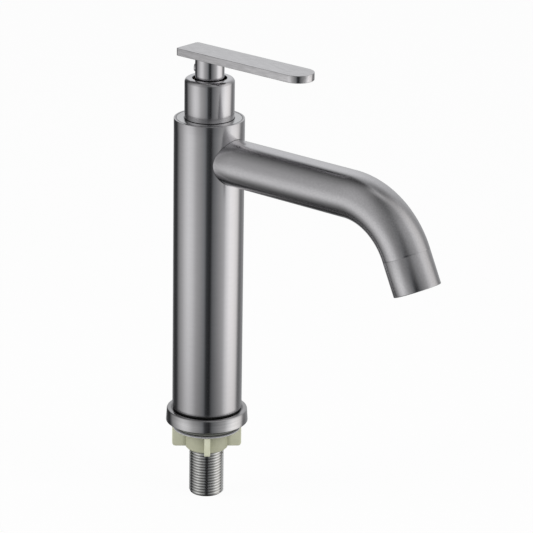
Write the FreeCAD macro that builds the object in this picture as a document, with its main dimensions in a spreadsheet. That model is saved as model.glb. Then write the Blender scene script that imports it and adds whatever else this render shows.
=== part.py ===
"""A single-supply basin tap: a round column with a fixed spout, a quarter-turn lever and its deck fixing.

Millimetres. +Z is up along the column, the spout points along +X, and the origin is the centre of the
base ring's underside, where the tap stands on the basin. The lever is shut, over the spout, and the
fixing nut is screwed up against the ring.
"""
import FreeCAD
import Part
import math
import os
import re
import Sketcher

SIZES = {
    # Base ring and the joint between it and the column
    "ring_height": 7.9,
    "ring_foot_radius": 24.8,
    "ring_crown_radius": 24.3,
    "ring_edge": 0.5,
    "ring_clearance": 0.4,
    "joint_thickness": 1.1,
    "joint_inset": 0.7,
    "joint_width": 6.5,
    "deck_seal_inset": 2.8,
    "deck_seal_width": 2.4,
    "deck_seal_height": 1.8,
    # Column
    "column_radius": 21.0,
    "column_wall": 1.5,
    "column_length": 181.3,
    "column_edge": 0.3,
    "cap_thickness": 4.0,
    "plug_thickness": 5.0,
    "plug_hub_radius": 13.0,
    "plug_hub_height": 7.0,
    "plug_step": 1.0,
    "fit_gap": 0.05,
    "cut_over": 1.0,
    # Pipe up the column
    "riser_radius": 6.0,
    "riser_wall": 1.0,
    "riser_socket": 4.0,
    # Threaded shank, a half-inch pipe thread
    "thread_radius": 10.4775,
    "thread_pitch": 1.8143,
    "thread_depth": 1.162,
    "thread_crest": 0.35,
    "thread_root": 0.35,
    "thread_clearance": 0.2,
    "thread_over": 0.15,
    "shank_drop": 47.0,
    "shank_grip": 6.0,
    "shank_bore": 7.0,
    "shank_chamfer": 0.9,
    # Deck fixing
    "gasket_radius": 19.2,
    "gasket_thickness": 4.2,
    "washer_radius": 20.4,
    "washer_thickness": 0.7,
    "washer_clearance": 0.4,
    "nut_height": 13.0,
    "nut_hub_radius": 12.8,
    "nut_chamfer": 0.8,
    "nut_bore": 9.6,
    "nut_lead": 0.3,
    "wing_radius": 21.0,
    "wing_height": 12.1,
    "wing_thickness": 3.5,
    "wing_corner": 2.1,
    "wing_angle": 43.0,
    # Valve chamber under the cap
    "chamber_radius": 16.0,
    "chamber_bore": 12.0,
    "chamber_depth": 31.0,
    "chamber_floor": 8.0,
    "collar_radius": 12.9,
    "collar_height": 6.0,
    "collar_grip": 10.0,
    "seat_bore": 5.0,
    "port_radius": 5.5,
    "port_rise": 6.5,
    # Spout and its outlet
    "spout_radius": 14.0,
    "spout_wall": 1.2,
    "spout_drop": 23.6,
    "spout_run": 107.9,
    "bend_radius": 45.5,
    "bend_angle": 65.4,
    "spout_tail": 1.0,
    "weld_gap": 0.1,
    "sleeve_length": 20.65,
    "sleeve_wall": 1.95,
    "sleeve_shoulder": 1.05,
    "sleeve_edge": 0.3,
    "seam_chamfer": 0.15,
    "aerator_recess": 1.0,
    "aerator_height": 10.0,
    "aerator_wall": 1.6,
    "aerator_lip": 1.2,
    "aerator_ledge": 1.4,
    "aerator_washer": 1.0,
    "screen_thickness": 0.8,
    "screen_hole": 0.62,
    "screen_spacing": 1.65,
    "screen_margin": 0.6,
    "core_thickness": 2.0,
    "core_skirt": 5.6,
    "core_wall": 1.2,
    "core_hole": 1.1,
    "core_hole_circle": 6.0,
    # Bonnet
    "bonnet_radius": 14.8,
    "bonnet_height": 24.3,
    "bonnet_top": 2.8,
    "bonnet_hole": 10.25,
    "bonnet_round": 2.4,
    "bonnet_foot": 0.3,
    # Headwork, the quarter-turn cartridge
    "washer_height": 0.8,
    "washer_inset": 0.5,
    "hex_flats": 22.0,
    "hex_height": 6.0,
    "neck_radius": 8.0,
    "neck_height": 4.0,
    "sleeve_radius": 9.6,
    "disc_radius": 7.8,
    "disc_thickness": 3.0,
    "disc_gap": 0.1,
    "seat_seal_height": 3.0,
    "seat_seal_proud": 1.5,
    "seat_seal_bore": 6.2,
    "waterway_inner": 1.5,
    "waterway_outer": 6.0,
    "waterway_angle": 76.0,
    "window_height": 4.3,
    "window_width": 9.0,
    "stop_height": 2.8,
    "stop_bore": 5.9,
    "lug_angle": 40.0,
    "lug_clearance": 0.2,
    "stop_margin": 1.0,
    "handle_swing": 90.0,
    # Spindle
    "spindle_radius": 5.5,
    "spindle_neck": 4.6,
    "running_gap": 0.05,
    "tang_thickness": 3.0,
    "tang_depth": 1.5,
    "tang_height": 5.0,
    "tang_margin": 0.5,
    "thrust_thickness": 0.5,
    "ring_groove": 4.1,
    "ring_groove_width": 2.0,
    "ring_groove_rise": 4.5,
    "ring_groove_step": 4.5,
    "ring_slack": 0.02,
    "clip_groove": 4.0,
    "clip_thickness": 0.8,
    "clip_radius": 6.6,
    "clip_opening": 44.0,
    "spline_radius": 4.0,
    "spline_root": 3.65,
    "spline_teeth": 20,
    "spline_length": 14.0,
    # Handle
    "post_radius": 8.65,
    "post_clearance": 0.7,
    "bush_radius": 6.2,
    "bush_headroom": 0.3,
    "grub_radius": 2.5,
    "grub_point": 0.8,
    "grub_chamfer": 0.3,
    "grub_proud": 0.6,
    "grub_drop": 6.2,
    "grub_key": 1.25,
    "grub_key_depth": 2.4,
    "grub_azimuth": 210.0,
    "post_height": 17.85,
    "lever_thickness": 4.45,
    "lever_width": 19.2,
    "lever_rear": 18.4,
    "lever_tip": 76.9,
    "lever_corner": 1.0,
    "lever_edge": 0.35,
}

ALIAS = re.compile(r"[a-z]+(?:_[a-z]+)+")

# Lengths this close, in millimetres, are the same, and a cut that takes less than this, in mm3, is none
SAME_LENGTH = 1e-4
NO_CUT = 1e-6

# Degrees between the tries of a thread's seam
SEAM_STEP = 25

# Heights along the column and radii that several pieces share
COLUMN_FOOT = "(ring_height + joint_thickness)"
COLUMN_TOP = f"({COLUMN_FOOT} + column_length)"
CAP_UNDERSIDE = f"({COLUMN_TOP} - cap_thickness)"
COLUMN_BORE = "(column_radius - column_wall)"
CHAMBER_FOOT = f"({CAP_UNDERSIDE} - chamber_depth)"
SEAT = f"({CHAMBER_FOOT} + chamber_floor)"
SPOUT_HEIGHT = f"({COLUMN_TOP} - spout_drop)"
COLLAR_TOP = f"({COLUMN_TOP} + collar_height)"
RISER_FOOT = f"({COLUMN_FOOT} + shank_grip + plug_step)"
WASHER_TOP = "(-gasket_thickness)"
NUT_TOP = "(-gasket_thickness - washer_thickness)"
HEX_FOOT = f"({COLLAR_TOP} + washer_height)"
HEX_TOP = f"({HEX_FOOT} + hex_height)"
NECK_TOP = f"({HEX_TOP} + neck_height)"
FIXED_DISC_FOOT = f"({SEAT} + seat_seal_height)"
TURNING_DISC_FOOT = f"({FIXED_DISC_FOOT} + disc_thickness)"
TURNING_DISC_TOP = f"({TURNING_DISC_FOOT} + disc_thickness)"
TANG_TOP = f"({TURNING_DISC_TOP} + tang_height)"
STOP_TOP = f"({TANG_TOP} + stop_height)"
SHOULDER = f"({COLLAR_TOP} - thrust_thickness)"
POST_FOOT = f"({NECK_TOP} + clip_thickness + post_clearance)"
LEVER_UNDERSIDE = f"({POST_FOOT} + post_height)"
SPINDLE_TOP = f"({POST_FOOT} + spline_length)"
BUSH_TOP = f"({SPINDLE_TOP} + bush_headroom)"
DECK_SEAL_RADIUS = "(ring_foot_radius - deck_seal_inset)"
AERATOR_TOP = "(aerator_recess + aerator_height)"
SLEEVE_THREAD = "(spout_radius - sleeve_wall)"
AERATOR_RADIUS = f"({SLEEVE_THREAD} - fit_gap)"
AERATOR_BORE = f"({AERATOR_RADIUS} - aerator_wall)"

doc = FreeCAD.newDocument("BasinTap")


def bound(text):
    """The same expression with each size read from the sheet."""
    return ALIAS.sub(lambda found: "Sizes." + found.group(), text)


def number(text):
    """The value of a plain sum of sizes, in millimetres or degrees."""
    figures = ALIAS.sub(lambda found: repr(float(SIZES[found.group()])), text)
    return FreeCAD.Units.Quantity(figures).Value


def fill_sheet():
    """One row for each size: its name, its value and the value cell's alias."""
    sheet = doc.addObject("Spreadsheet::Sheet", "Sizes")
    for row, (alias, value) in enumerate(SIZES.items(), start=1):
        sheet.set(f"A{row}", alias)
        sheet.set(f"B{row}", str(value))
        sheet.setAlias(f"B{row}", alias)
    doc.recompute()


def new_body(name):
    """An empty body whose label names the sub-part."""
    body = doc.addObject("PartDesign::Body", name)
    body.Label = name
    return body


def sketch_on(body, role, name, height=None, azimuth=None):
    """A sketch on one of the body's own origin planes, lifted off it, or swung about Z from +X.

    The swing starts at any angle, which fixes its axis, and the expression then sets the true one.
    """
    plane = next(item for item in body.Origin.OriginFeatures if item.Role == role)
    sketch = body.newObject("Sketcher::SketchObject", name)
    sketch.AttachmentSupport = [(plane, "")]
    sketch.MapMode = "FlatFace"
    if height:
        sketch.setExpression("AttachmentOffset.Base.z", bound(height))
    if azimuth:
        swing = FreeCAD.Rotation(FreeCAD.Vector(0, 1, 0), 30)
        sketch.AttachmentOffset = FreeCAD.Placement(FreeCAD.Vector(), swing)
        sketch.setExpression("AttachmentOffset.Rotation.Angle", bound(azimuth))
    return sketch


def place(sketch, item, point, across, up):
    """Ties a point of the sketch to two expressions."""
    for kind, text in (("DistanceX", across), ("DistanceY", up)):
        index = sketch.addConstraint(Sketcher.Constraint(kind, item, point, number(text)))
        sketch.setExpression(f"Constraints[{index}]", bound(text))


def add_outline(sketch, corners):
    """A closed outline of straight lines through corners given as pairs of expressions."""
    points = [FreeCAD.Vector(number(across), number(up), 0) for across, up in corners]
    first = sketch.GeometryCount
    for index, point in enumerate(points):
        following = (index + 1) % len(points)
        sketch.addGeometry(Part.LineSegment(point, points[following]), False)
    for index in range(len(points)):
        following = first + (index + 1) % len(points)
        sketch.addConstraint(Sketcher.Constraint("Coincident", first + index, 2, following, 1))
    for index, (across, up) in enumerate(corners):
        place(sketch, first + index, 1, across, up)


def add_circle(sketch, radius, across="0", up="0"):
    """A circle whose centre and radius are expressions."""
    centre = FreeCAD.Vector(number(across), number(up), 0)
    size = number(radius)
    item = sketch.addGeometry(Part.Circle(centre, FreeCAD.Vector(0, 0, 1), size), False)
    place(sketch, item, 3, across, up)
    index = sketch.addConstraint(Sketcher.Constraint("Radius", item, size))
    sketch.setExpression(f"Constraints[{index}]", bound(radius))


def turn(body, corners, cut=False, start=None, sweep="360"):
    """Turns an outline of (radius, height) pairs about the body's own Z axis, as metal or as a cut."""
    kind = "Groove" if cut else "Revolution"
    doc.recompute()
    before = body.Shape.Volume if cut else 0
    sketch = sketch_on(body, "XZ_Plane", f"{body.Name}_{kind}_outline", azimuth=start)
    add_outline(sketch, corners)
    feature = body.newObject(f"PartDesign::{kind}", f"{body.Name}_{kind}")
    feature.Profile = sketch
    feature.ReferenceAxis = (sketch, ["V_Axis"])
    feature.setExpression("Angle", bound(sweep))
    doc.recompute()
    if cut and not body.Shape.Volume < before - NO_CUT:
        raise RuntimeError(f"{feature.Name} cut nothing")


def turned(name, corners):
    """A sub-part turned in one piece."""
    body = new_body(name)
    turn(body, corners)
    return body


def tube(name, inner, outer, low, high):
    """A plain ring or pipe about the Z axis."""
    return turned(name, [(inner, low), (outer, low), (outer, high), (inner, high)])


def pad(body, sketch, length):
    """Thickens a sketch by an expression."""
    feature = body.newObject("PartDesign::Pad", f"{sketch.Name}_pad")
    feature.Profile = sketch
    feature.setExpression("Length", bound(length))


def hexagon(half):
    """The corners of a hexagon from half its width across flats."""
    corner = f"{half} * 1.1547005"
    return [
        (corner, "0"),
        (f"{corner} / 2", half),
        (f"{corner} / -2", half),
        (f"0 - {corner}", "0"),
        (f"{corner} / -2", f"0 - {half}"),
        (f"{corner} / 2", f"0 - {half}"),
    ]


def pocket(body, sketch, length, towards_normal=False, both_ways=False):
    """Cuts a sketch into the body, and makes sure that it did cut."""
    doc.recompute()
    before = body.Shape.Volume
    feature = body.newObject("PartDesign::Pocket", f"{sketch.Name}_pocket")
    feature.Profile = sketch
    feature.setExpression("Length", bound(length))
    feature.Reversed = towards_normal
    feature.Midplane = both_ways
    doc.recompute()
    if not body.Shape.Volume < before - NO_CUT:
        raise RuntimeError(f"{feature.Name} cut nothing")
    return feature


def dress(body, kind, tool_size, wanted):
    """A Fillet or Chamfer on every edge of the body that the test picks."""
    doc.recompute()
    base = body.Tip
    names = [f"Edge{index}" for index, edge in enumerate(base.Shape.Edges, start=1) if wanted(edge)]
    if not names:
        raise RuntimeError(f"no edge to dress on {body.Name}")
    feature = body.newObject(f"PartDesign::{kind}", f"{body.Name}_{kind}")
    feature.Base = (base, names)
    feature.setExpression("Radius" if kind == "Fillet" else "Size", bound(tool_size))


def along(edge, direction):
    """Whether a straight edge runs along a direction."""
    if not isinstance(edge.Curve, Part.Line):
        return False
    return abs(edge.Curve.Direction.dot(direction)) > 0.999


def fixed_shape(name, shape):
    """A sub-part whose shape is worked out here from the sheet's values."""
    item = doc.addObject("Part::Feature", name)
    item.Label = name
    item.Shape = shape
    item.Placement = FreeCAD.Placement()
    return item


def size(alias):
    """A size as the sheet holds it."""
    return float(getattr(doc.Sizes, alias))


def base_ring():
    bore = "thread_radius + ring_clearance"
    groove_inner = f"{DECK_SEAL_RADIUS} - deck_seal_width / 2"
    groove_outer = f"{DECK_SEAL_RADIUS} + deck_seal_width / 2"
    return turned("base_ring", [
        (bore, "0"),
        (groove_inner, "0"),
        (groove_inner, "deck_seal_height"),
        (groove_outer, "deck_seal_height"),
        (groove_outer, "0"),
        ("ring_foot_radius - ring_edge / 2", "0"),
        ("ring_foot_radius", "ring_edge / 2"),
        ("ring_crown_radius", "ring_height - ring_edge"),
        ("ring_crown_radius - ring_edge", "ring_height"),
        (bore, "ring_height"),
    ])


def deck_seal():
    inner = f"{DECK_SEAL_RADIUS} - deck_seal_width / 2"
    outer = f"{DECK_SEAL_RADIUS} + deck_seal_width / 2"
    return tube("deck_seal", inner, outer, "0", "deck_seal_height")


def joint_seal():
    outer = "column_radius - joint_inset"
    inner = f"{outer} - joint_width"
    return tube("joint_seal", inner, outer, "ring_height", COLUMN_FOOT)


def column_tube():
    body = new_body("column_tube")
    turn(body, [
        (COLUMN_BORE, COLUMN_FOOT),
        ("column_radius", COLUMN_FOOT),
        ("column_radius", f"{COLUMN_TOP} - column_edge"),
        ("column_radius - column_edge", COLUMN_TOP),
        (COLUMN_BORE, COLUMN_TOP),
    ])
    hole = sketch_on(body, "YZ_Plane", "column_spout_hole")
    add_circle(hole, "spout_radius + weld_gap", "0", SPOUT_HEIGHT)
    pocket(body, hole, "column_radius * 2", towards_normal=True)
    return body


def column_cap():
    return tube("column_cap", "collar_radius + fit_gap", f"{COLUMN_BORE} - fit_gap", CAP_UNDERSIDE, COLUMN_TOP)


def base_plug():
    socket = "riser_radius + fit_gap"
    grip = "thread_radius + fit_gap"
    step = f"{COLUMN_FOOT} + shank_grip"
    hub_top = f"{COLUMN_FOOT} + plug_thickness + plug_hub_height"
    return turned("base_plug", [
        (grip, COLUMN_FOOT),
        (f"{COLUMN_BORE} - fit_gap", COLUMN_FOOT),
        (f"{COLUMN_BORE} - fit_gap", f"{COLUMN_FOOT} + plug_thickness"),
        ("plug_hub_radius", f"{COLUMN_FOOT} + plug_thickness"),
        ("plug_hub_radius", hub_top),
        (socket, hub_top),
        (socket, RISER_FOOT),
        ("riser_radius - riser_wall", RISER_FOOT),
        ("riser_radius - riser_wall", step),
        (grip, step),
    ])


def riser_pipe():
    top = f"{CHAMBER_FOOT} + riser_socket"
    return tube("riser_pipe", "riser_radius - riser_wall", "riser_radius", RISER_FOOT, top)


def flank_slope():
    """How far a thread flank runs along the axis for each millimetre of depth."""
    flats = size("thread_crest") + size("thread_root")
    return (size("thread_pitch") - flats) / 2 / size("thread_depth")


def winding(first, first_half, second, second_half, low, high):
    """A ridge wound up the Z axis: two radii, the half width at each, and where its middle starts and ends."""
    outline = [
        FreeCAD.Vector(first, 0, low - first_half),
        FreeCAD.Vector(second, 0, low - second_half),
        FreeCAD.Vector(second, 0, low + second_half),
        FreeCAD.Vector(first, 0, low + first_half),
    ]
    helix = Part.makeHelix(size("thread_pitch"), high - low, first)
    helix.translate(FreeCAD.Vector(0, 0, low))
    section = Part.makePolygon(outline + outline[:1])
    return Part.Wire(helix.Edges).makePipeShell([section], True, True)


def cut_thread(blank, cutter, area, mean_radius, length):
    """The blank less a winding cutter, checked against the groove's section times its wound length.

    The blank's seam is turned a step at a time until the cut comes out whole.
    """
    pitch = size("thread_pitch")
    wound = length / pitch * math.hypot(2 * math.pi * mean_radius, pitch)
    for seam in range(0, 360, SEAM_STEP):
        turned_blank = blank.copy()
        turned_blank.rotate(FreeCAD.Vector(), FreeCAD.Vector(0, 0, 1), seam)
        result = turned_blank.cut(cutter)
        lost = turned_blank.Volume - result.Volume
        whole = result.isValid() and len(result.Solids) == 1
        if whole and abs(lost / (area * wound) - 1) < 0.05:
            return result
    raise RuntimeError("the thread could not be cut")


def lathe(corners):
    """A solid turned about the Z axis from (radius, height) pairs in millimetres."""
    points = [FreeCAD.Vector(across, 0, up) for across, up in corners]
    face = Part.Face(Part.makePolygon(points + points[:1]))
    return face.revolve(FreeCAD.Vector(), FreeCAD.Vector(0, 0, 1), 360)


def thread_foot():
    """Where the lowest turn of the groove starts: whole turns below the datum, past the shank's end."""
    turns = math.ceil(size("shank_drop") / size("thread_pitch")) + 1
    return -turns * size("thread_pitch")


def threaded_shank():
    low = -size("shank_drop")
    high = number(f"{COLUMN_FOOT} + shank_grip")
    radius = size("thread_radius")
    chamfer = size("shank_chamfer")
    corners = [
        (size("shank_bore"), low),
        (radius - chamfer, low),
        (radius, low + chamfer),
        (radius, high),
        (size("shank_bore"), high),
    ]
    root = radius - size("thread_depth")
    rim = radius + size("thread_over")
    root_half = size("thread_root") / 2
    rim_half = root_half + flank_slope() * (rim - root)
    groove = winding(root, root_half, rim, rim_half, thread_foot(), -size("thread_pitch") / 2)
    area = size("thread_depth") * (2 * root_half + flank_slope() * size("thread_depth"))
    mean = radius - size("thread_depth") / 2
    return fixed_shape("threaded_shank", cut_thread(lathe(corners), groove, area, mean, -low))


def deck_gasket():
    inner = "thread_radius + washer_clearance"
    return tube("deck_gasket", inner, "gasket_radius", WASHER_TOP, "0")


def clamp_washer():
    inner = "thread_radius + washer_clearance"
    return tube("clamp_washer", inner, "washer_radius", NUT_TOP, WASHER_TOP)


def wing_shape(root, top):
    """One wing along +X, from inside the hub, with its lower corner rounded."""
    reach = size("wing_radius")
    drop = size("wing_height")
    corner = size("wing_corner")
    half = size("wing_thickness") / 2
    start = FreeCAD.Vector(root, -half, top)
    low = top - drop
    mid = corner * (1 - math.sqrt(0.5))
    points = [
        start,
        FreeCAD.Vector(reach, -half, top),
        FreeCAD.Vector(reach, -half, low + corner),
        FreeCAD.Vector(reach - mid, -half, low + mid),
        FreeCAD.Vector(reach - corner, -half, low),
        FreeCAD.Vector(root, -half, low),
    ]
    edges = [
        Part.makeLine(points[0], points[1]),
        Part.makeLine(points[1], points[2]),
        Part.Arc(points[2], points[3], points[4]).toShape(),
        Part.makeLine(points[4], points[5]),
        Part.makeLine(points[5], points[0]),
    ]
    return Part.Face(Part.Wire(edges)).extrude(FreeCAD.Vector(0, 2 * half, 0))


def wing_nut():
    """The plastic nut: its own thread clears the shank's all round, so that it turns freely on it."""
    top = number(NUT_TOP)
    low = top - size("nut_height")
    hub = size("nut_hub_radius")
    chamfer = size("nut_chamfer")
    bore = size("nut_bore")
    rim = size("thread_radius") + size("thread_clearance")
    lead = rim + size("nut_lead")
    blank = lathe([
        (bore, low + lead - bore),
        (lead, low),
        (hub - chamfer, low),
        (hub, low + chamfer),
        (hub, top),
        (lead, top),
        (bore, top - lead + bore),
    ])
    pitch = size("thread_pitch")
    slope = flank_slope()
    gap = size("thread_clearance")
    rim_half = size("thread_crest") / 2 + gap * (math.sqrt(1 + slope * slope) - slope)
    inner = bore - size("thread_over")
    inner_half = rim_half + slope * (rim - inner)
    start = math.floor(low / pitch) * pitch - pitch / 2
    space = winding(inner, inner_half, rim, rim_half, start, top + pitch)
    area = (rim - bore) * (2 * rim_half + slope * (rim - bore))
    hub_body = cut_thread(blank, space, area, (rim + bore) / 2, size("nut_height") - (lead - bore))
    wings = []
    for quarter in range(4):
        wing = wing_shape((rim + hub) / 2, top)
        wing.rotate(FreeCAD.Vector(), FreeCAD.Vector(0, 0, 1), size("wing_angle") + 90 * quarter)
        wings.append(wing)
    return fixed_shape("wing_nut", hub_body.fuse(wings).removeSplitter())


def valve_chamber():
    body = new_body("valve_chamber")
    socket = "riser_radius + fit_gap"
    thread = "thread_radius + fit_gap"
    undercut = f"{COLLAR_TOP} - collar_grip"
    turn(body, [
        (socket, CHAMBER_FOOT),
        ("chamber_radius", CHAMBER_FOOT),
        ("chamber_radius", CAP_UNDERSIDE),
        ("collar_radius", CAP_UNDERSIDE),
        ("collar_radius", COLLAR_TOP),
        (thread, COLLAR_TOP),
        (thread, undercut),
        ("chamber_bore", undercut),
        ("chamber_bore", SEAT),
        ("seat_bore", SEAT),
        ("seat_bore", f"{CHAMBER_FOOT} + riser_socket"),
        (socket, f"{CHAMBER_FOOT} + riser_socket"),
    ])
    port = sketch_on(body, "YZ_Plane", "chamber_port")
    add_circle(port, "port_radius", "0", f"{SEAT} + port_rise")
    pocket(body, port, "chamber_radius * 2", towards_normal=True)
    return body


def spout_path(body):
    """The spout's centre line: a level run, the bend and a short straight tail."""
    sketch = sketch_on(body, "XZ_Plane", "spout_path")
    sweep = math.radians(SIZES["bend_angle"])
    run, radius, level = SIZES["spout_run"], SIZES["bend_radius"], number(SPOUT_HEIGHT)
    start = FreeCAD.Vector(0, level, 0)
    bend = FreeCAD.Vector(run, level, 0)
    centre = FreeCAD.Vector(run, level - radius, 0)
    rise = radius * (1 - math.cos(sweep))
    end = FreeCAD.Vector(run + radius * math.sin(sweep), level - rise, 0)
    heading = FreeCAD.Vector(math.cos(sweep), -math.sin(sweep), 0)
    sketch.addGeometry(Part.LineSegment(start, bend), False)
    circle = Part.Circle(centre, FreeCAD.Vector(0, 0, 1), radius)
    sketch.addGeometry(Part.ArcOfCircle(circle, math.pi / 2 - sweep, math.pi / 2), False)
    sketch.addGeometry(Part.LineSegment(end, end + heading * SIZES["spout_tail"]), False)
    sketch.addConstraint(Sketcher.Constraint("Coincident", 1, 2, 0, 2))
    sketch.addConstraint(Sketcher.Constraint("Tangent", 1, 1, 2, 1))
    place(sketch, 0, 1, "0", SPOUT_HEIGHT)
    place(sketch, 0, 2, "spout_run", SPOUT_HEIGHT)
    place(sketch, 1, 3, "spout_run", f"{SPOUT_HEIGHT} - bend_radius")
    turned_by = sketch.addConstraint(Sketcher.Constraint("Angle", 1, sweep))
    sketch.setExpression(f"Constraints[{turned_by}]", bound("bend_angle"))
    tail = sketch.addConstraint(Sketcher.Constraint("Distance", 2, SIZES["spout_tail"]))
    sketch.setExpression(f"Constraints[{tail}]", bound("spout_tail"))
    return sketch


def spout_tube():
    body = new_body("spout_tube")
    path = spout_path(body)
    section = sketch_on(body, "YZ_Plane", "spout_section")
    add_circle(section, "spout_radius", "0", SPOUT_HEIGHT)
    add_circle(section, "spout_radius - spout_wall", "0", SPOUT_HEIGHT)
    doc.recompute()
    sweep = body.newObject("PartDesign::AdditivePipe", "spout_sweep")
    sweep.Profile = section
    sweep.Spine = (path, [f"Edge{index}" for index in range(1, 4)])
    doc.recompute()
    check_sweep(sweep)
    saddle = sketch_on(body, "XY_Plane", "spout_saddle")
    add_circle(saddle, "chamber_radius + fit_gap")
    pocket(body, saddle, f"({SPOUT_HEIGHT} + spout_radius) * 2", both_ways=True)
    return body


def check_sweep(sweep):
    """The swept pipe's volume is its section times its length."""
    outer, wall = size("spout_radius"), size("spout_wall")
    section = math.pi * (outer ** 2 - (outer - wall) ** 2)
    bend = size("bend_radius") * math.radians(size("bend_angle"))
    length = size("spout_run") + bend + size("spout_tail")
    share = sweep.Shape.Volume / (section * length)
    print(f"spout: swept volume is {share:.5f} of section times length")
    if abs(share - 1) > 0.001:
        raise RuntimeError("the spout's sweep has the wrong volume")


def stand_at_outlet(body):
    """Moves a body turned about its own Z axis to the outlet, with +Z back up the spout."""
    body.Placement = FreeCAD.Placement(FreeCAD.Vector(), FreeCAD.Rotation(FreeCAD.Vector(0, -1, 0), 30))
    reach = "spout_run + bend_radius * sin(bend_angle) + (spout_tail + sleeve_length) * cos(bend_angle)"
    drop = "bend_radius * (1 - cos(bend_angle)) + (spout_tail + sleeve_length) * sin(bend_angle)"
    body.setExpression("Placement.Base.x", bound(reach))
    body.setExpression("Placement.Base.z", bound(f"{SPOUT_HEIGHT} - ({drop})"))
    body.setExpression("Placement.Rotation.Angle", bound("90 - bend_angle"))
    return body


def outlet_sleeve():
    bore = f"{SLEEVE_THREAD} - sleeve_shoulder"
    shoulder = f"{AERATOR_TOP} + aerator_washer"
    body = turned("outlet_sleeve", [
        (SLEEVE_THREAD, "sleeve_edge"),
        (f"{SLEEVE_THREAD} + sleeve_edge", "0"),
        ("spout_radius - sleeve_edge", "0"),
        ("spout_radius", "sleeve_edge"),
        ("spout_radius", "sleeve_length - seam_chamfer"),
        ("spout_radius - seam_chamfer", "sleeve_length"),
        (bore, "sleeve_length"),
        (bore, shoulder),
        (SLEEVE_THREAD, shoulder),
    ])
    return stand_at_outlet(body)


def aerator_housing():
    lip_top = "aerator_recess + aerator_lip"
    mouth = f"{AERATOR_BORE} - aerator_ledge"
    body = turned("aerator_housing", [
        (mouth, "aerator_recess"),
        (AERATOR_RADIUS, "aerator_recess"),
        (AERATOR_RADIUS, AERATOR_TOP),
        (AERATOR_BORE, AERATOR_TOP),
        (AERATOR_BORE, lip_top),
        (mouth, lip_top),
    ])
    return stand_at_outlet(body)


def aerator_screen():
    """A round wire screen, drawn as a thin disc with rings of holes."""
    low = number("aerator_recess + aerator_lip")
    spacing = size("screen_spacing")
    radius = number(f"{AERATOR_BORE} - fit_gap")
    thickness = size("screen_thickness")
    over = size("cut_over")
    disc = Part.makeCylinder(radius, thickness, FreeCAD.Vector(0, 0, low))
    holes = []
    rings = int((radius - size("screen_hole") - size("screen_margin")) / spacing)
    for ring in range(rings + 1):
        count = max(1, 6 * ring)
        for index in range(count):
            turn_by = 2 * math.pi * index / count
            spot = FreeCAD.Vector(math.cos(turn_by), math.sin(turn_by), 0) * (ring * spacing)
            spot.z = low - over
            holes.append(Part.makeCylinder(size("screen_hole"), thickness + 2 * over, spot))
    item = fixed_shape("aerator_screen", disc.cut(Part.makeCompound(holes)))
    return stand_at_outlet(item)


def aerator_core():
    """The plastic insert that holds the screen down: a pierced plate with a skirt."""
    body = new_body("aerator_core")
    low = "aerator_recess + aerator_lip + screen_thickness"
    outer = f"{AERATOR_BORE} - fit_gap"
    inner = f"{outer} - core_wall"
    top = f"{low} + core_skirt + core_thickness"
    turn(body, [
        (inner, low),
        (outer, low),
        (outer, top),
        ("0", top),
        ("0", f"{low} + core_skirt"),
        (inner, f"{low} + core_skirt"),
    ])
    plate = sketch_on(body, "XY_Plane", "core_hole", top)
    add_circle(plate, "core_hole", "core_hole_circle")
    hole = pocket(body, plate, "core_thickness * 2")
    ring = body.newObject("PartDesign::PolarPattern", "core_holes")
    ring.Originals = [hole]
    ring.Axis = (plate, ["N_Axis"])
    ring.Angle = 360
    ring.Occurrences = 12
    body.Tip = ring
    return stand_at_outlet(body)


def aerator_washer():
    top = f"{AERATOR_TOP} + aerator_washer"
    body = tube("aerator_washer", AERATOR_BORE, AERATOR_RADIUS, AERATOR_TOP, top)
    return stand_at_outlet(body)


def bonnet():
    body = new_body("bonnet")
    top = f"{COLUMN_TOP} + bonnet_height"
    inner = "collar_radius + fit_gap"
    turn(body, [
        (inner, COLUMN_TOP),
        ("bonnet_radius - bonnet_foot", COLUMN_TOP),
        ("bonnet_radius", f"{COLUMN_TOP} + bonnet_foot"),
        ("bonnet_radius", top),
        ("bonnet_hole", top),
        ("bonnet_hole", f"{top} - bonnet_top"),
        (inner, f"{top} - bonnet_top"),
    ])
    rim = number("bonnet_radius")
    level = number(top)
    dress(body, "Fillet", "bonnet_round", lambda edge: is_circle(edge, rim, level))
    return body


def is_circle(edge, radius, height):
    """Whether an edge is a circle about the Z axis of this radius at this height."""
    if not isinstance(edge.Curve, Part.Circle):
        return False
    same_radius = abs(edge.Curve.Radius - radius) < SAME_LENGTH
    return same_radius and abs(edge.Curve.Center.z - height) < SAME_LENGTH


def headwork_washer():
    inner = "thread_radius + fit_gap"
    return tube("headwork_washer", inner, "collar_radius - washer_inset", COLLAR_TOP, HEX_FOOT)


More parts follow.
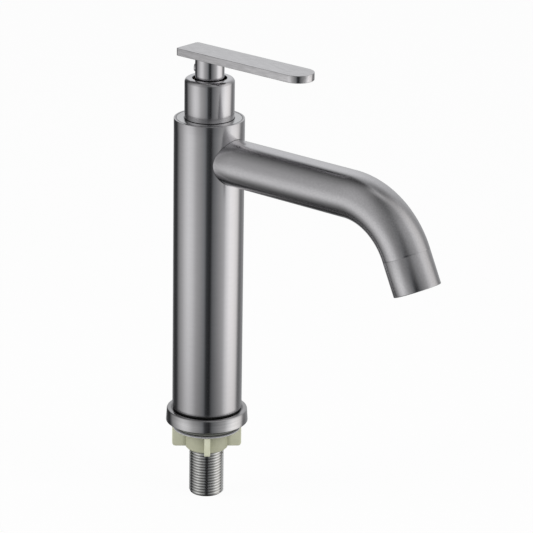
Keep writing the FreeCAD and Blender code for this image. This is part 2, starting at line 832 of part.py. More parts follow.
def headwork_body():
    body = new_body("headwork_body")
    disc_bore = "disc_radius + disc_gap"
    spindle_bore = "spindle_radius + running_gap"
    neck_bore = "spindle_neck + running_gap"
    thread_foot_height = f"{HEX_FOOT} - collar_grip"
    turn(body, [
        (disc_bore, f"{SEAT} + seat_seal_proud"),
        ("sleeve_radius", f"{SEAT} + seat_seal_proud"),
        ("sleeve_radius", thread_foot_height),
        ("thread_radius", thread_foot_height),
        ("thread_radius", HEX_FOOT),
        ("neck_radius", HEX_FOOT),
        ("neck_radius", NECK_TOP),
        (neck_bore, NECK_TOP),
        (neck_bore, f"{SHOULDER} + thrust_thickness"),
        (spindle_bore, f"{SHOULDER} + thrust_thickness"),
        (spindle_bore, STOP_TOP),
        (disc_bore, STOP_TOP),
    ])
    flats = sketch_on(body, "XY_Plane", "headwork_flats", HEX_FOOT)
    add_outline(flats, hexagon("hex_flats / 2"))
    add_circle(flats, "neck_radius - fit_gap")
    pad(body, flats, "hex_height")
    window = sketch_on(body, "YZ_Plane", "headwork_window")
    low = TURNING_DISC_TOP
    high = f"{TURNING_DISC_TOP} + window_height"
    add_outline(window, [
        ("window_width / -2", low),
        ("window_width / 2", low),
        ("window_width / 2", high),
        ("window_width / -2", high),
    ])
    pocket(body, window, "sleeve_radius * 4", both_ways=True)
    add_stop(body)
    return body


def add_stop(body):
    """The ledge in the bore that the spindle's lug meets when the lever is shut and when it is open."""
    first = "90 + handle_swing + lug_angle / 2 + stop_margin"
    sweep = "360 - handle_swing - lug_angle - 2 * stop_margin"
    outer = "disc_radius + disc_gap + fit_gap"
    turn(body, [
        ("stop_bore", TANG_TOP),
        (outer, TANG_TOP),
        (outer, STOP_TOP),
        ("stop_bore", STOP_TOP),
    ], start=first, sweep=sweep)


def seat_seal():
    return tube("seat_seal", "seat_seal_bore", "disc_radius", SEAT, FIXED_DISC_FOOT)


def valve_disc(name, low, first_opening):
    """A ceramic disc with two facing openings, each of the waterway's angle."""
    body = new_body(name)
    high = f"{low} + disc_thickness"
    turn(body, [("0", low), ("disc_radius", low), ("disc_radius", high), ("0", high)])
    for half_turn in (0, 180):
        start = f"{first_opening + half_turn} - waterway_angle / 2"
        turn(body, [
            ("waterway_inner", low),
            ("waterway_outer", low),
            ("waterway_outer", high),
            ("waterway_inner", high),
        ], cut=True, start=start, sweep="waterway_angle")
    return body


def fixed_disc():
    return valve_disc("fixed_disc", FIXED_DISC_FOOT, 90)


def turning_disc():
    """The upper disc: shut at rest, because its openings lie a quarter turn from the lower disc's."""
    body = valve_disc("turning_disc", TURNING_DISC_FOOT, 0)
    slot = sketch_on(body, "XY_Plane", "tang_slot", TURNING_DISC_TOP)
    half = "(tang_thickness / 2 + fit_gap)"
    add_outline(slot, [
        (f"0 - {half}", "0 - disc_radius - cut_over"),
        (half, "0 - disc_radius - cut_over"),
        (half, "disc_radius + cut_over"),
        (f"0 - {half}", "disc_radius + cut_over"),
    ])
    pocket(body, slot, "tang_depth")
    return body


def star(outer, root, teeth):
    """Corners of a splined outline: tooth tips and roots by turns."""
    corners = []
    for index in range(2 * teeth):
        angle = math.pi * index / teeth
        radius = root if index % 2 else outer
        corners.append((f"({radius}) * {math.cos(angle):.9f}", f"({radius}) * {math.sin(angle):.9f}"))
    return corners


def spindle():
    body = new_body("spindle")
    neck = "spindle_neck"
    lower_groove = f"{STOP_TOP} + ring_groove_rise"
    upper_groove = f"{lower_groove} + ring_groove_step"
    turn(body, [
        ("0", TANG_TOP),
        ("spindle_radius", TANG_TOP),
        ("spindle_radius", lower_groove),
        ("ring_groove", lower_groove),
        ("ring_groove", f"{lower_groove} + ring_groove_width"),
        ("spindle_radius", f"{lower_groove} + ring_groove_width"),
        ("spindle_radius", upper_groove),
        ("ring_groove", upper_groove),
        ("ring_groove", f"{upper_groove} + ring_groove_width"),
        ("spindle_radius", f"{upper_groove} + ring_groove_width"),
        ("spindle_radius", SHOULDER),
        (neck, SHOULDER),
        (neck, NECK_TOP),
        ("clip_groove", NECK_TOP),
        ("clip_groove", f"{NECK_TOP} + clip_thickness"),
        ("0", f"{NECK_TOP} + clip_thickness"),
    ])
    teeth = sketch_on(body, "XY_Plane", "spindle_teeth", f"{NECK_TOP} + clip_thickness")
    add_outline(teeth, star("spline_radius", "spline_root", SIZES["spline_teeth"]))
    pad(body, teeth, f"{SPINDLE_TOP} - {NECK_TOP} - clip_thickness")
    tang = sketch_on(body, "XY_Plane", "spindle_tang", f"{TURNING_DISC_TOP} - tang_depth")
    add_outline(tang, [
        ("tang_thickness / -2", "tang_margin - disc_radius"),
        ("tang_thickness / 2", "tang_margin - disc_radius"),
        ("tang_thickness / 2", "disc_radius - tang_margin"),
        ("tang_thickness / -2", "disc_radius - tang_margin"),
    ])
    pad(body, tang, "tang_depth + tang_height")
    turn(body, [
        (neck, f"{TANG_TOP} + fit_gap"),
        ("disc_radius - lug_clearance", f"{TANG_TOP} + fit_gap"),
        ("disc_radius - lug_clearance", f"{STOP_TOP} - 2 * fit_gap"),
        (neck, f"{STOP_TOP} - 2 * fit_gap"),
    ], start="90 - lug_angle / 2", sweep="lug_angle")
    return body


def thrust_washer():
    return tube("thrust_washer", "spindle_neck + fit_gap", "spindle_radius - fit_gap", SHOULDER,
                f"{SHOULDER} + thrust_thickness")


def spindle_o_rings():
    """The two rubber rings in the spindle's grooves, one node."""
    section = "((spindle_radius + running_gap - ring_groove) / 2 - ring_slack)"
    rings = []
    for index, step in enumerate(("0", "ring_groove_step")):
        ring = doc.addObject("Part::Torus", f"o_ring_{index + 1}")
        ring.setExpression("Radius1", bound("(spindle_radius + running_gap + ring_groove) / 2"))
        ring.setExpression("Radius2", bound(section))
        middle = f"{STOP_TOP} + ring_groove_rise + ring_groove_width / 2 + {step}"
        ring.setExpression("Placement.Base.z", bound(middle))
        rings.append(ring)
    pair = doc.addObject("Part::Compound", "spindle_o_rings")
    pair.Label = "spindle_o_rings"
    pair.Links = rings
    return pair


def spindle_circlip():
    """A spring clip with an open mouth, in the spindle's groove on top of the headwork."""
    body = new_body("spindle_circlip")
    high = f"{NECK_TOP} + clip_thickness"
    inner = "clip_groove + fit_gap"
    turn(body, [
        (inner, NECK_TOP),
        ("clip_radius", NECK_TOP),
        ("clip_radius", high),
        (inner, high),
    ], start="clip_opening / 2", sweep="360 - clip_opening")
    return body


def grub_hole(body, name):
    """The cross hole of the set screw, out through the back of the neck."""
    hole = sketch_on(body, "XZ_Plane", name, azimuth="grub_azimuth - 270")
    add_circle(hole, "grub_radius + fit_gap", "0", f"{LEVER_UNDERSIDE} - grub_drop")
    pocket(body, hole, "post_radius * 2", towards_normal=True)


def lever_post():
    body = turned("lever_post", [
        ("bush_radius + fit_gap", POST_FOOT),
        ("post_radius", POST_FOOT),
        ("post_radius", LEVER_UNDERSIDE),
        ("0", LEVER_UNDERSIDE),
        ("0", BUSH_TOP),
        ("bush_radius + fit_gap", BUSH_TOP),
    ])
    grub_hole(body, "post_grub_hole")
    return body


def spline_bush():
    """The splined insert in the post, with its own teeth round the spindle's."""
    body = new_body("spline_bush")
    section = sketch_on(body, "XY_Plane", "bush_section", POST_FOOT)
    add_circle(section, "bush_radius")
    teeth = SIZES["spline_teeth"]
    add_outline(section, star("spline_radius + fit_gap", "spline_root + fit_gap", teeth))
    pad(body, section, f"{BUSH_TOP} - {POST_FOOT}")
    grub_hole(body, "bush_grub_hole")
    return body


def grub_screw():
    """The set screw, turned about its own axis, with a hexagon socket in its outer end."""
    body = new_body("grub_screw")
    foot = "spline_radius + fit_gap"
    head = "post_radius + grub_proud"
    turn(body, [
        ("0", foot),
        ("grub_radius - grub_point", foot),
        ("grub_radius", f"{foot} + grub_point"),
        ("grub_radius", f"{head} - grub_chamfer"),
        ("grub_radius - grub_chamfer", head),
        ("0", head),
    ])
    key = sketch_on(body, "XY_Plane", "grub_key", head)
    add_outline(key, hexagon("grub_key"))
    pocket(body, key, "grub_key_depth")
    azimuth = math.radians(SIZES["grub_azimuth"])
    hinge_line = FreeCAD.Vector(-math.sin(azimuth), math.cos(azimuth), 0)
    spot = FreeCAD.Vector(0, 0, number(f"{LEVER_UNDERSIDE} - grub_drop"))
    body.Placement = FreeCAD.Placement(spot, FreeCAD.Rotation(hinge_line, 90))
    return body


def lever_plate():
    """A flat bar with a square rear end and a half-round tip."""
    body = new_body("lever_plate")
    sketch = sketch_on(body, "XY_Plane", "lever_outline", LEVER_UNDERSIDE)
    half = SIZES["lever_width"] / 2
    rear, straight = -SIZES["lever_rear"], SIZES["lever_tip"] - half
    corners = [
        FreeCAD.Vector(straight, half, 0),
        FreeCAD.Vector(rear, half, 0),
        FreeCAD.Vector(rear, -half, 0),
        FreeCAD.Vector(straight, -half, 0),
    ]
    for first, second in zip(corners, corners[1:]):
        sketch.addGeometry(Part.LineSegment(first, second), False)
    circle = Part.Circle(FreeCAD.Vector(straight, 0, 0), FreeCAD.Vector(0, 0, 1), half)
    sketch.addGeometry(Part.ArcOfCircle(circle, -math.pi / 2, math.pi / 2), False)
    for item in range(3):
        sketch.addConstraint(Sketcher.Constraint("Coincident", item, 2, item + 1, 1))
    sketch.addConstraint(Sketcher.Constraint("Coincident", 3, 2, 0, 1))
    place(sketch, 0, 1, "lever_tip - lever_width / 2", "lever_width / 2")
    place(sketch, 1, 1, "0 - lever_rear", "lever_width / 2")
    place(sketch, 1, 2, "0 - lever_rear", "lever_width / -2")
    place(sketch, 2, 2, "lever_tip - lever_width / 2", "lever_width / -2")
    centre = sketch.addConstraint(Sketcher.Constraint("DistanceX", 3, 3, straight))
    sketch.setExpression(f"Constraints[{centre}]", bound("lever_tip - lever_width / 2"))
    pad(body, sketch, "lever_thickness")
    upright = FreeCAD.Vector(0, 0, 1)
    dress(body, "Fillet", "lever_corner", lambda edge: along(edge, upright) and edge.Vertexes[0].X < 0)
    dress(body, "Chamfer", "lever_edge", lambda edge: not along(edge, upright) and is_level(edge))
    return body


def is_level(edge):
    """Whether an edge lies in one level plane."""
    return edge.BoundBox.ZLength < SAME_LENGTH


SUB_PARTS = (
    base_ring,
    deck_seal,
    joint_seal,
    column_tube,
    column_cap,
    base_plug,
    riser_pipe,
    threaded_shank,
    valve_chamber,
    spout_tube,
    outlet_sleeve,
    aerator_housing,
    aerator_core,
    aerator_screen,
    aerator_washer,
    bonnet,
    headwork_washer,
    headwork_body,
    seat_seal,
    fixed_disc,
    turning_disc,
    spindle,
    thrust_washer,
    spindle_o_rings,
    spindle_circlip,
    spline_bush,
    lever_post,
    grub_screw,
    lever_plate,
    deck_gasket,
    clamp_washer,
    wing_nut,
)


def check(parts):
    """Every object is up to date and every sub-part is a valid solid."""
    doc.recompute()
    for item in doc.Objects:
        if "Invalid" in item.State or "Error" in item.State:
            raise RuntimeError(f"{item.Name} failed: {item.State}")
    for item in parts:
        if item.Shape.isNull() or not item.Shape.isValid() or not item.Shape.Solids:
            raise RuntimeError(f"{item.Label} has no valid shape")
        if item.Shape.Volume <= 0:
            raise RuntimeError(f"{item.Label} is inside out")


def main():
    fill_sheet()
    parts = [make() for make in SUB_PARTS]
    check(parts)
    os.makedirs("parts", exist_ok=True)
    for item in parts:
        item.Shape.exportStep(f"parts/{item.Label}.step")
        print(f"{item.Label}: {len(item.Shape.Solids)} solid, {item.Shape.Volume / 1000:.3f} cm3")


main()
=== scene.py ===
"""Dresses the CAD frame of a basin tap in steel, rubber, brass and plastic, in a plain studio."""

import math

import bmesh
import bpy
from mathutils import Matrix, Vector


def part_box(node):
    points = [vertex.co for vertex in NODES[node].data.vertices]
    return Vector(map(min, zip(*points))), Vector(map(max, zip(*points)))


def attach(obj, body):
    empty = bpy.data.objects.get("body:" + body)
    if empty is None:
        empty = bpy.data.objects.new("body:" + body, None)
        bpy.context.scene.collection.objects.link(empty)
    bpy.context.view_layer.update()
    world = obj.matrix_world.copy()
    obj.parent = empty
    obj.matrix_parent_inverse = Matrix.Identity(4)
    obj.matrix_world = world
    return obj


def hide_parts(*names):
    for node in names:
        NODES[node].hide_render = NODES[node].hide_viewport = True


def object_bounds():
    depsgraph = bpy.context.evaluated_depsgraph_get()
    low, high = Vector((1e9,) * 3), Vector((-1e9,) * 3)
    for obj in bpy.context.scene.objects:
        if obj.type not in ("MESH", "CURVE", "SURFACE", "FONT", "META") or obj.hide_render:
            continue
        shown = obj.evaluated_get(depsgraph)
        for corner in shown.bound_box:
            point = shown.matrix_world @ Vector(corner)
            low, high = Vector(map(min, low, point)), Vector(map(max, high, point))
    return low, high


bl_info = {
    "name": "Basin Tap",
    "version": (1, 0, 0),
    "blender": (4, 5, 0),
    "location": "View3D > Sidebar > Tap",
    "description": "Builds the visible pieces, finishes and studio of a basin tap on its CAD frame",
    "category": "Object",
}

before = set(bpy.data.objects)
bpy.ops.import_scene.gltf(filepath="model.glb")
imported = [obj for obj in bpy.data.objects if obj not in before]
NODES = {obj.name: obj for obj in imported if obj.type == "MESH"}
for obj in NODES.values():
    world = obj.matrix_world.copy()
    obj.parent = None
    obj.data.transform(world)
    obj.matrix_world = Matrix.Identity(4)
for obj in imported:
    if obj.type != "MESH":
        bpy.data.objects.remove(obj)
CAD_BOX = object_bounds()
MM = 0.001


# Shader maths


def _arithmetic(operation, reflected=False):
    """A method that adds a Math node for one arithmetic sign."""

    def method(self, other):
        pair = (other, self) if reflected else (self, other)
        return self.graph.maths(operation, *pair)

    return method


class Value:
    """A socket in a node tree that Python arithmetic works on."""

    def __init__(self, graph, socket):
        self.graph = graph
        self.socket = socket

    __add__ = _arithmetic("ADD")
    __radd__ = _arithmetic("ADD", reflected=True)
    __sub__ = _arithmetic("SUBTRACT")
    __rsub__ = _arithmetic("SUBTRACT", reflected=True)
    __mul__ = _arithmetic("MULTIPLY")
    __rmul__ = _arithmetic("MULTIPLY", reflected=True)
    __truediv__ = _arithmetic("DIVIDE")


class Graph:
    """The node tree of a material or world, emptied and built up from expressions."""

    def __init__(self, owner):
        owner.use_nodes = True
        self.tree = owner.node_tree
        self.tree.nodes.clear()

    def node(self, kind, settings, sockets, output=0):
        """Adds a node, sets it up, fills or links its sockets, and returns one of its outputs."""
        node = self.tree.nodes.new(kind)
        for name, setting in settings.items():
            setattr(node, name, setting)
        for key, value in sockets.items():
            if isinstance(value, Value):
                self.tree.links.new(value.socket, node.inputs[key])
            else:
                node.inputs[key].default_value = value
        return Value(self, node.outputs[output]) if node.outputs else None

    def maths(self, operation, *values):
        """A Math node of the given operation."""
        return self.node("ShaderNodeMath", {"operation": operation}, dict(enumerate(values)))

    def vector_maths(self, operation, sockets):
        """A Vector Math node of the given operation."""
        return self.node("ShaderNodeVectorMath", {"operation": operation}, sockets)

    def blend(self, factor, first, second):
        """Mixes two colours."""
        settings = {"data_type": "RGBA"}
        return self.node("ShaderNodeMix", settings, {0: factor, 6: first, 7: second}, output=2)

    def ramp(self, factor, stops):
        """A colour ramp over the factor, straight between its stops of place and tone."""
        value = self.node("ShaderNodeValToRGB", {}, {0: factor})
        elements = value.socket.node.color_ramp.elements
        elements.remove(elements[-1])
        for index, (place, tone) in enumerate(stops):
            stop = elements[0] if index == 0 else elements.new(place)
            stop.position = place
            stop.color = (*tone, 1.0) if isinstance(tone, tuple) else (tone, tone, tone, 1.0)
        return value

    def between(self, value, low, high):
        """0 below low, 1 above high, smooth between them."""
        settings = {"interpolation_type": "SMOOTHSTEP"}
        return self.node("ShaderNodeMapRange", settings, {0: value, 1: low, 2: high})

    def place(self):
        """The piece's own coordinates in millimetres."""
        coordinates = self.node("ShaderNodeTexCoord", {}, {}, output="Object")
        return self.vector_maths("SCALE", {0: coordinates, "Scale": 1.0 / MM})

    def parts(self, vector):
        """The three values of a vector."""
        first = self.node("ShaderNodeSeparateXYZ", {}, {0: vector})
        return [Value(self, output) for output in first.socket.node.outputs]

    def reach_and_height(self, vector):
        """How far a place lies from the axis, and its height."""
        x, y, z = self.parts(vector)
        return self.maths("SQRT", x * x + y * y), z

    def stretched(self, vector, scale):
        """The vector with each direction scaled on its own."""
        return self.vector_maths("MULTIPLY", {0: vector, 1: scale})

    def noise(self, vector, scale, detail=2.0, roughness=0.5):
        """A noise value around a half."""
        sockets = {"Vector": vector, "Scale": scale, "Detail": detail, "Roughness": roughness}
        return self.node("ShaderNodeTexNoise", {}, sockets)

    def bump(self, height, strength, distance):
        """A normal bent by a height in millimetres."""
        sockets = {"Height": height, "Strength": strength, "Distance": distance * MM}
        return self.node("ShaderNodeBump", {}, sockets)

    def surface(self, sockets):
        """Ends a material with a Principled shader."""
        shader = self.node("ShaderNodeBsdfPrincipled", {}, sockets)
        self.node("ShaderNodeOutputMaterial", {"target": "ALL"}, {"Surface": shader})


# Finishes


# How noise is drawn out in each direction: into rings round the axis, and into flatter clouds
RINGS = (0.02, 0.02, 1.0)
COARSE_RINGS = (0.03, 0.03, 1.0)
FLAT_CLOUDS = (1.0, 1.0, 0.4)

# How many noise cells there are to a millimetre, where no finish says otherwise
CLOUDS = 0.05
MOULD_CLOUDS = 0.12
MOULD_GRAIN = 1.2
BRASS_MARKS = 9.0
TARNISH = 0.25
FLOOR_MOTTLE = 0.02

# The noise levels between which one tone turns into the other
GRAIN_STEP = (0.35, 0.65)
TARNISH_STEP = (0.35, 0.7)
CLOUD_STEP = (0.3, 0.7)

# Where the tones of single pieces change: heights and distances from the axis in millimetres. The
# ring, cap and column bands place painted shade, the gasket's band a painted highlight, and the
# nut's bands painted shade and light
RING_TOP = (7.7, 7.88)
RING_SHELF = (21.2, 22.4)
CAP_SEAM = (14.9, 15.4)
CAP_RIM = (19.1, 19.35)
COLUMN_TOP = (190.1, 190.28)
COLUMN_RIM = (20.1, 20.5)
SEAM_HIGHLIGHT_FOOT = (-3.5, -3.15)
SEAM_HIGHLIGHT_TOP = (-3.05, -2.7)
NUT_HUB = (12.9, 15.5)
WING_END = (20.3, 20.8)


def finish(name):
    """An empty material and its graph."""
    material = bpy.data.materials.new(name)
    return material, Graph(material)


def grained(g, pattern, tint, depth):
    """The tint, darker by the depth where the pattern is low."""
    dark = tuple((1.0 - depth) * part for part in tint)
    return g.blend(g.between(pattern, *GRAIN_STEP), (*dark, 1.0), (*tint, 1.0))


def with_painted_tone(g, vector, colour, rule, tone):
    """The colour, with a painted tone of light or shade where the rule, if there is one, puts it.
    """
    if rule is None:
        return colour
    return g.blend(rule(g, *g.reach_and_height(vector)), colour, (*tone, 1.0))


def turned_steel(name, tint, rough, grain=14.0, depth=0.07, anisotropy=0.65, painted_shade=None):
    """Steel brushed round its axis: fine rings, clouded tone, and painted shade where the rule puts
    it.
    """
    material, g = finish(name)
    vector = g.place()
    rings = g.noise(g.stretched(vector, RINGS), grain, detail=4.0, roughness=0.7)
    clouds = g.noise(g.stretched(vector, FLAT_CLOUDS), CLOUDS)
    g.surface({
        # The painted shade darkens the base colour where the rule puts it
        "Base Color": with_painted_tone(g, vector, grained(g, rings, tint, depth), painted_shade, PAINTED_SHADE_TONE),
        "Metallic": 1.0, "Roughness": rough + 0.05 * (rings - 0.5) + 0.06 * (clouds - 0.5),
        "Anisotropic": anisotropy, "Anisotropic Rotation": 0.25,
        "Normal": g.bump(rings, strength=0.1, distance=0.0012),
    })
    return material


def satin_steel(
        name, tint, rough, grain=3.5, depth=0.08, drawn=1.0, anisotropy=0.3, metallic=1.0,
        painted_shade=None):
    """Steel with a fine grain, drawn out along X by a factor, and painted shade where the rule puts
    it.
    """
    material, g = finish(name)
    vector = g.place()
    lengthwise = g.stretched(vector, (1.0 / drawn, 1.0, 1.0))
    speckle = g.noise(lengthwise, grain, detail=4.0, roughness=0.65)
    clouds = g.noise(vector, CLOUDS)
    g.surface({
        # The painted shade darkens the base colour where the rule puts it
        "Base Color": with_painted_tone(g, vector, grained(g, speckle, tint, depth), painted_shade, PAINTED_SHADE_TONE),
        "Metallic": metallic, "Roughness": rough + 0.08 * (speckle - 0.5) + 0.06 * (clouds - 0.5),
        "Anisotropic": anisotropy, "Normal": g.bump(speckle, strength=0.12, distance=0.004),
    })
    return material


def brass(name, light, tarnished):
    """Machined brass with turning marks and a light tarnish."""
    material, g = finish(name)
    vector = g.place()
    marks = g.noise(g.stretched(vector, COARSE_RINGS), BRASS_MARKS, detail=3.0)
    tarnish = g.between(g.noise(vector, TARNISH, detail=3.0), *TARNISH_STEP)
    g.surface({
        "Base Color": g.blend(tarnish, (*light, 1.0), (*tarnished, 1.0)),
        "Metallic": 1.0, "Roughness": 0.24 + 0.12 * (marks - 0.5),
        "Normal": g.bump(marks, strength=0.2, distance=0.005),
    })
    return material


def moulded(name, light, deep, rough, rule=None, painted_tone=(0.0, 0.0, 0.0)):
    """Moulded plastic or rubber: soft grain, cloudy tone, and a painted tone of light or shade
    where the rule puts it.
    """
    material, g = finish(name)
    vector = g.place()
    grain = g.noise(vector, MOULD_GRAIN, detail=4.0, roughness=0.6)
    clouds = g.between(g.noise(vector, MOULD_CLOUDS), *CLOUD_STEP)
    colour = g.blend(clouds, (*light, 1.0), (*deep, 1.0))
    g.surface({
        # A painted tone of light or shade goes where the rule puts it
        "Base Color": with_painted_tone(g, vector, colour, rule, painted_tone),
        "Roughness": rough + 0.12 * (grain - 0.5),
        "Normal": g.bump(grain, strength=0.25, distance=0.02),
    })
    return material


def ring_painted_shade(g, reach, height):
    """Painted shade: the ring's upper face is darker, most of all next to the joint with the
    column.
    """
    return g.between(height, *RING_TOP) * (0.85 - 0.45 * g.between(reach, *RING_SHELF))


def cap_painted_shade(g, reach, height):
    """Painted shade along the cap's joints: dark next to the bonnet's foot and half as dark at the
    rim by the column.
    """
    return 1.0 - g.between(reach, *CAP_SEAM) * (1.0 - 0.5 * g.between(reach, *CAP_RIM))


def column_painted_shade(g, reach, height):
    """Painted shade: the column's upper face is half darkened up to its rounded edge."""
    return 0.5 * g.between(height, *COLUMN_TOP) * (1.0 - g.between(reach, *COLUMN_RIM))


def gasket_seam_highlight(g, reach, height):
    """A moulding seam round the middle of the gasket's edge, painted light as a highlight."""
    return g.between(height, *SEAM_HIGHLIGHT_FOOT) * (1.0 - g.between(height, *SEAM_HIGHLIGHT_TOP))


def nut_painted_shade(g, reach, height):
    """Painted shade and light: the nut is darkest at its thick hub, where the wings shade it, and
    lightest at the ends of its wings.
    """
    return 1.0 - 0.6 * g.between(reach, *NUT_HUB) - 0.4 * g.between(reach, *WING_END)


STEEL = (0.712, 0.703, 0.722)
# Near-black tone of the painted shade on the column, cap and ring
PAINTED_SHADE_TONE = (0.06, 0.058, 0.06)
FINISHES = {
    # The column, cap and ring finishes get painted shade from their rules
    "column_steel": lambda: turned_steel(
        "column_brushed_steel", STEEL, 0.17, grain=5.0, anisotropy=0.75, painted_shade=column_painted_shade),
    "cap_steel": lambda: satin_steel("cap_satin_steel", (0.74, 0.74, 0.75), 0.24, painted_shade=cap_painted_shade),
    "bonnet_steel": lambda: turned_steel("bonnet_brushed_steel", STEEL, 0.17, anisotropy=0.85),
    "ring_steel": lambda: turned_steel(
        "ring_brushed_steel", (0.70, 0.695, 0.705), 0.15, grain=1.4, depth=0.12, painted_shade=ring_painted_shade),
    "spout_steel": lambda: satin_steel("spout_satin_steel", STEEL, 0.2, grain=1.2, depth=0.1),
    "sleeve_steel": lambda: satin_steel("sleeve_satin_steel", STEEL, 0.2, grain=1.2, depth=0.1),
    "post_steel": lambda: turned_steel("post_brushed_steel", STEEL, 0.12),
    "lever_steel": lambda: satin_steel(
        "lever_satin_steel", (0.72, 0.71, 0.725), 0.12, grain=0.9, depth=0.17, drawn=6.0),
    "thread_steel": lambda: satin_steel("thread_steel", (0.76, 0.76, 0.75), 0.12, anisotropy=0.0),
    "washer_steel": lambda: satin_steel(
        "washer_zinc_steel", (0.62, 0.62, 0.65), 0.55, anisotropy=0.0, metallic=0.25),
    "inner_steel": lambda: turned_steel("inner_turned_steel", (0.60, 0.60, 0.60), 0.3),
    "screen_steel": lambda: satin_steel(
        "screen_wire_steel", (0.6, 0.6, 0.6), 0.3, anisotropy=0.0),
    "headwork_brass": lambda: brass("headwork_brass", (0.78, 0.57, 0.25), (0.62, 0.43, 0.18)),
    "disc_ceramic": lambda: moulded(
        "disc_ceramic", (0.82, 0.81, 0.77), (0.74, 0.73, 0.69), 0.15),
    "seal_rubber": lambda: moulded(
        "seal_rubber", (0.016, 0.016, 0.016), (0.025, 0.025, 0.025), 0.5),
    # The gasket's light stripe is a painted highlight
    "gasket_rubber": lambda: moulded(
        "gasket_rubber", (0.075, 0.08, 0.066), (0.088, 0.094, 0.079), 0.4,
        rule=gasket_seam_highlight, painted_tone=(0.27, 0.275, 0.25)),
    # The nut's darker hub and lighter wing ends are painted shade and light
    "nut_plastic": lambda: moulded(
        "nut_ivory_plastic", (0.77, 0.78, 0.61), (0.72, 0.73, 0.55), 0.45,
        rule=nut_painted_shade, painted_tone=(0.465, 0.47, 0.345)),
    "white_plastic": lambda: moulded(
        "white_plastic", (0.78, 0.78, 0.76), (0.72, 0.72, 0.70), 0.4),
    "fibre": lambda: moulded("pressed_fibre", (0.45, 0.17, 0.10), (0.36, 0.12, 0.07), 0.8),
}
made = {}


def finish_of(slot):
    """The material of one of the record's slots, made once."""
    if slot not in made:
        made[slot] = FINISHES[slot]()
    return made[slot]


# Modelling


# Points nearer to each other than this are merged, and a corner's point is found within this
MERGED = 0.001 * MM
NEAR = 0.002 * MM

# A rounding gets a segment for about each of these, and at least so many
ARC_STEP = 0.22 * MM
LEAST_SEGMENTS = 3

# Edges less sharp than the first angle are shaded smooth, and sharper than the second are rounded
SMOOTH_BELOW = math.radians(35.0)
SHARP_ABOVE = math.radians(60.0)

# Roundings of the edges that have no size of their own
SHARP = 0.0
HAIR = 0.1 * MM
FINE = 0.15 * MM
BROKEN = 0.2 * MM
EASED = 0.25 * MM
SOFT = 0.3 * MM
ROUND = 0.35 * MM

# The set screw's taper, domed end and clearance, and half the band of the neck that it goes through
SCREW_TAPER = 0.8 * MM
SCREW_DOME = 0.9 * MM
SCREW_GAP = 0.05 * MM
SCREW_BAND = 3.4 * MM

# Half the column's band round the spout, as a share of the hole's radius
SADDLE_BAND = 1.15

# The level run is drawn in so many parts, and the cutter inside it reaches so far up and down
RUN_PARTS = 4
CUTTER_REACH = 0.04

# Each of the two front corners takes just under half the lever's width, so that they stay apart
TIP_SHARE = 0.499
TIP_SEGMENTS = 32
CORNER_SEGMENTS = 5

# Faces of the nut this flat become one, and edges sharper than the other angle are moulded round
FLAT = math.radians(0.5)
MOULDED = math.radians(55.0)


def outer(node):
    """The radius of a node that is turned about the column's axis."""
    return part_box(node)[1][1]


def foot(node):
    """The height of a node's lowest point."""
    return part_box(node)[0][2]


def top(node):
    """The height of a node's highest point."""
    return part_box(node)[1][2]


def size(name, description, default):
    """A length that the user can change."""
    return bpy.props.FloatProperty(
        name=name, description=description, default=default, unit="LENGTH", precision=5)


def work_on(piece):
    """Selects one object alone."""
    bpy.ops.object.select_all(action="DESELECT")
    piece.select_set(True)
    bpy.context.view_layer.objects.active = piece


def pick(piece, kind, wanted):
    """Selects the vertices, edges or faces that a test wants, in edit mode."""
    bpy.ops.mesh.select_mode(type={"verts": "VERT", "edges": "EDGE", "faces": "FACE"}[kind])
    mesh = bmesh.from_edit_mesh(piece.data)
    bpy.ops.mesh.select_all(action="DESELECT")
    for item in getattr(mesh, kind):
        item.select_set(wanted(item))
    mesh.select_flush_mode()
    bmesh.update_edit_mesh(piece.data)


def edit_points():
    """Starts edit mode on the active object, with everything picked by its points."""
    bpy.ops.object.mode_set(mode="EDIT")
    bpy.ops.mesh.select_mode(type="VERT")
    bpy.ops.mesh.select_all(action="SELECT")


def merge_doubles():
    """Picks everything and merges its doubles, in edit mode."""
    bpy.ops.mesh.select_all(action="SELECT")
    bpy.ops.mesh.remove_doubles(threshold=MERGED)


def tidy_shell():
    """Merges doubles and points the faces out, in edit mode."""
    merge_doubles()
    bpy.ops.mesh.normals_make_consistent(inside=False)


def turned(outline, steps=144):
    """Draws an outline of (radius, height, rounding) corners in metres and spins it about Z."""
    bpy.ops.object.select_all(action="DESELECT")
    bpy.ops.mesh.primitive_plane_add(size=MM, location=(outline[0][0], 0.0, outline[0][1]))
    piece = bpy.context.object
    bpy.ops.object.transform_apply()
    edit_points()
    bpy.ops.mesh.merge(type="CENTER")
    for start, end in zip(outline, outline[1:] + outline[:1]):
        side = (end[0] - start[0], 0.0, end[1] - start[1])
        bpy.ops.mesh.extrude_region_move(TRANSFORM_OT_translate={"value": side})
    merge_doubles()
    for radius, height, rounding in outline:
        if rounding:
            corner = Vector((radius, 0.0, height))
            pick(piece, "verts", lambda vert: (vert.co - corner).length < NEAR)
            segments = max(LEAST_SEGMENTS, round(rounding / ARC_STEP))
            bpy.ops.mesh.bevel(offset=rounding, segments=segments, affect="VERTICES")
    bpy.ops.mesh.select_all(action="SELECT")
    bpy.ops.mesh.spin(
        steps=steps, angle=2.0 * math.pi, center=(0.0, 0.0, 0.0), axis=(0.0, 0.0, 1.0))
    tidy_shell()
    bpy.ops.object.mode_set(mode="OBJECT")
    return piece


def carved(piece, cutter):
    """Cuts the cutter out of the piece and removes the cutter."""
    work_on(piece)
    cut = piece.modifiers.new("carve", "BOOLEAN")
    cut.operation = "DIFFERENCE"
    cut.solver = "EXACT"
    cut.object = cutter
    bpy.ops.object.modifier_apply(modifier=cut.name)
    bpy.data.objects.remove(cutter)


